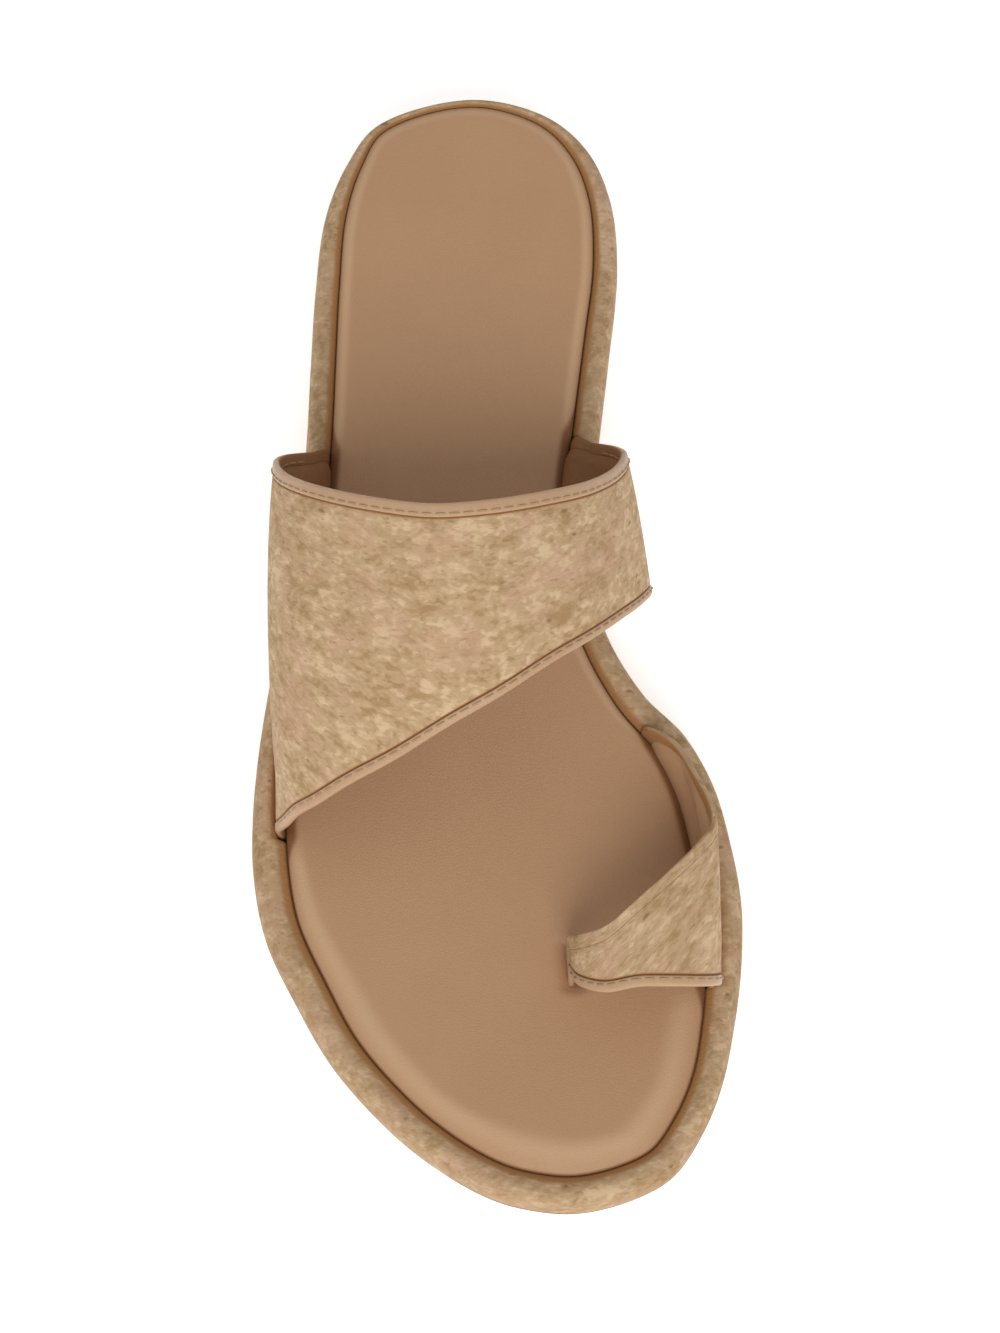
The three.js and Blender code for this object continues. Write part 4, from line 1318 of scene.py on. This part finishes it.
class SANDAL_OT_outsole(bpy.types.Operator):
    """Builds the rubber outsole"""

    bl_idname = "sandal.outsole"
    bl_label = "Outsole"

    def execute(self, context):
        last, _, _ = shape_of(context)
        rubber = get_finish("outsole_moulding", rubber_finish, context.scene.sandal_colours.rubber)
        ride_root(make_outsole(last, rubber), "outsole_rubber", "outsole")
        return {"FINISHED"}


class SANDAL_OT_platform(bpy.types.Operator):
    """Builds the cork-wrapped platform"""

    bl_idname = "sandal.platform"
    bl_label = "Platform"

    def execute(self, context):
        last, _, _ = shape_of(context)
        ride_root(make_platform(last, platform_cork(context)), "platform_cork", "platform")
        return {"FINISHED"}


class SANDAL_OT_insole(bpy.types.Operator):
    """Builds the padded insole"""

    bl_idname = "sandal.insole"
    bl_label = "Insole"

    def execute(self, context):
        last, _, ring = shape_of(context)
        pad = make_insole(last, ring, sandal_leather(context))
        ride_root(pad, "insole_leather", "insole")
        return {"FINISHED"}


def add_strap(context, strap, name, node, bindings, steps, trim, inner, seams, turned, stitched):
    """Cork face, leather lining, the two bindings and the stitching of one strap. trim tells how
    far its feet are cut short in rows of its table, seams the painted shade in the crease of the rear
    and the front seam, turned whether cork is turned over the rear edge, stitched the rows beside the
    edges."""
    last = strap.last
    span = (trim[0] / strap.rows, 1 - trim[1] / strap.rows)
    lining_top = last.wall - LINING
    cork = strap_cork(context)
    leather = binding_leather(context)
    section = wall_section(last, CORK_ROLL, 0.0, lining_top, True, seams)
    ride_root(loft_strap(name + "_cork", strap, section, cork, steps, span), "strap_cork", node)
    section = wall_section(last, LINING_ROLL, lining_top, last.wall, False, (0.0, 0.0))
    lining = loft_strap(name + "_lining", strap, section, inner, steps, span)
    ride_root(lining, "binding_leather", node)
    rear = fold_section(REAR_BAND, False, FLUSH if turned else PROUD, TURNED_SHADE if turned else 1.0)
    front = fold_section(FRONT_BAND, True, PROUD, 1.0)
    folds = ((rear, cork if turned else leather), (front, leather))
    for binding, (section, skin) in zip(bindings, folds):
        piece = loft_strap(binding + "_fold", strap, section, skin, steps, span)
        ride_root(piece, "binding_leather", binding)
    seam = context.scene.sandal_stitching
    open_span = (SEAM_FROM / strap.rows, 1 - SEAM_TO / strap.rows)
    rows = []
    for from_front, inset in stitched:
        rows.append((from_front, inset, STITCH_DEPTH, open_span, 1))
        rows.append((from_front, inset, EDGE_WALL - STITCH_DEPTH, open_span, -1))
    stitches = make_stitches(
        name + "_stitching",
        strap,
        rows,
        stitch_thread(context),
        seam.pitch / MM,
        seam.half_length / MM,
        seam.radius / MM,
    )
    ride_root(stitches, "binding_leather", *bindings)


class SANDAL_OT_instep_strap(bpy.types.Operator):
    """Builds the broad strap over the instep with its lining, bindings and seams"""

    bl_idname = "sandal.instep_strap"
    bl_label = "Instep strap"

    def execute(self, context):
        _, instep, _ = shape_of(context)
        add_strap(
            context,
            instep,
            name="instep",
            node="instep_strap",
            bindings=("instep_binding_rear", "instep_binding_front"),
            steps=200,
            trim=(0.4, 0.4),
            inner=lining_leather_painted_shade(context),
            # Painted shade in the crease of the rear and the front seam
            seams=(0.55, 1.0),
            turned=False,
            stitched=((False, REAR_STITCHES), (True, FRONT_STITCHES)),
        )
        return {"FINISHED"}


class SANDAL_OT_toe_ring(bpy.types.Operator):
    """Builds the ring for the big toe with its lining, bindings and seams"""

    bl_idname = "sandal.toe_ring"
    bl_label = "Toe ring"

    def execute(self, context):
        _, _, ring = shape_of(context)
        add_strap(
            context,
            ring,
            name="ring",
            node="toe_ring",
            bindings=("ring_binding_rear", "ring_binding_front"),
            steps=150,
            trim=(0.4, 0.6),
            inner=sandal_leather(context),
            # Painted shade in the crease of the rear and the front seam
            seams=(0.0, 1.0),
            turned=True,
            stitched=((True, FRONT_STITCHES),),
        )
        return {"FINISHED"}


# Stage, in metres. The camera's place and turn are fitted to the outlines in the photograph.

CAMERA_PLACE = (-0.01741, -0.3148, 0.86541)
CAMERA_RIGHT = (0.99756, -0.06976, 0.0)
CAMERA_BACK = (-0.02386, -0.34119, 0.93969)
FLOOR_REACH = 6.0
FLOOR_DROP = 0.0002
KEY_PLACE = (0.0, -1.44, 1.55)
KEY_SIZE = 1.1
FILL_PLACE = (-1.5, 0.15, 1.1)
FILL_SIZE = 1.2


class SANDAL_OT_stage(bpy.types.Operator):
    """Sets out the floor, the lights and the camera"""

    bl_idname = "sandal.stage"
    bl_label = "Studio"

    def execute(self, context):
        scene = context.scene
        stage = scene.sandal_stage
        self.add_floor(scene, stage)
        self.add_light(scene, "key_light", KEY_PLACE, KEY_SIZE, stage.key)
        self.add_light(scene, "side_light", FILL_PLACE, FILL_SIZE, stage.fill)
        world = bpy.data.worlds.new("studio")
        world.use_nodes = True
        sky = world.node_tree.nodes["Background"]
        sky.inputs["Color"].default_value = (1.0, 1.0, 1.0, 1.0)
        sky.inputs["Strength"].default_value = stage.sky
        scene.world = world
        scene.view_settings.view_transform = "Standard"
        self.add_camera(scene, stage)
        return {"FINISHED"}

    def add_floor(self, scene, stage):
        """A plain pale floor."""
        mesh = bpy.data.meshes.new("floor")
        ends = (-FLOOR_REACH, FLOOR_REACH)
        corners = [(x, y, -FLOOR_DROP) for y in ends for x in ends]
        mesh.from_pydata(corners, [], [(0, 1, 3, 2)])
        skin = bpy.data.materials.new("floor_paper")
        skin.use_nodes = True
        shader = skin.node_tree.nodes["Principled BSDF"]
        shader.inputs["Base Color"].default_value = (*scene.sandal_colours.floor, 1.0)
        shader.inputs["Roughness"].default_value = 0.9
        shader.inputs["Emission Color"].default_value = (1.0, 1.0, 1.0, 1.0)
        shader.inputs["Emission Strength"].default_value = stage.floor_glow
        mesh.materials.append(skin)
        floor = bpy.data.objects.new("floor", mesh)
        scene.collection.objects.link(floor)

    def add_light(self, scene, name, place, size, power):
        """A large soft light aimed at the sandal."""
        light = bpy.data.lights.new(name, "AREA")
        light.shape = "SQUARE"
        light.size = size
        light.energy = power
        lamp = bpy.data.objects.new(name, light)
        lamp.location = place
        lamp.rotation_euler = (-Vector(place)).to_track_quat("-Z", "Y").to_euler()
        scene.collection.objects.link(lamp)

    def add_camera(self, scene, stage):
        """The photograph's view."""
        camera = bpy.data.cameras.new("camera")
        camera.sensor_fit = "VERTICAL"
        camera.sensor_height = 36.0
        camera.lens = stage.lens
        camera.clip_start = 0.01
        view = bpy.data.objects.new("camera", camera)
        right = Vector(CAMERA_RIGHT).normalized()
        back = Vector(CAMERA_BACK).normalized()
        up = back.cross(right)
        turn = Matrix((right, up, back)).transposed().to_4x4()
        view.matrix_world = Matrix.Translation(CAMERA_PLACE) @ turn
        scene.collection.objects.link(view)
        scene.camera = view


class SANDAL_PT_panel(bpy.types.Panel):
    """Lists the sandal's pieces, sizes and colours"""

    bl_idname = "SANDAL_PT_panel"
    bl_label = "Sandal"
    bl_space_type = "VIEW_3D"
    bl_region_type = "UI"
    bl_category = "Sandal"

    def draw(self, context):
        layout = self.layout
        for operator in OPERATORS:
            layout.operator(operator.bl_idname)
        for name, group in GROUPS.items():
            box = layout.box()
            for key in group.__annotations__:
                box.prop(getattr(context.scene, name), key)


OPERATORS = (
    SANDAL_OT_outsole,
    SANDAL_OT_platform,
    SANDAL_OT_insole,
    SANDAL_OT_instep_strap,
    SANDAL_OT_toe_ring,
    SANDAL_OT_stage,
)
GROUPS = {
    "sandal_sizes": SandalSizes,
    "sandal_stitching": SandalStitching,
    "sandal_colours": SandalColours,
    "sandal_stage": SandalStage,
}


def register():
    for name, group in GROUPS.items():
        bpy.utils.register_class(group)
        setattr(bpy.types.Scene, name, PointerProperty(type=group))
    for operator in OPERATORS:
        bpy.utils.register_class(operator)
    bpy.utils.register_class(SANDAL_PT_panel)


def unregister():
    bpy.utils.unregister_class(SANDAL_PT_panel)
    for operator in reversed(OPERATORS):
        bpy.utils.unregister_class(operator)
    for name, group in reversed(GROUPS.items()):
        delattr(bpy.types.Scene, name)
        bpy.utils.unregister_class(group)


def main():
    """Builds the sandal and its stage."""
    register()
    bpy.ops.sandal.stage()
    bpy.ops.sandal.outsole()
    bpy.ops.sandal.platform()
    bpy.ops.sandal.insole()
    bpy.ops.sandal.instep_strap()
    bpy.ops.sandal.toe_ring()


if __name__ == "__main__":
    main()
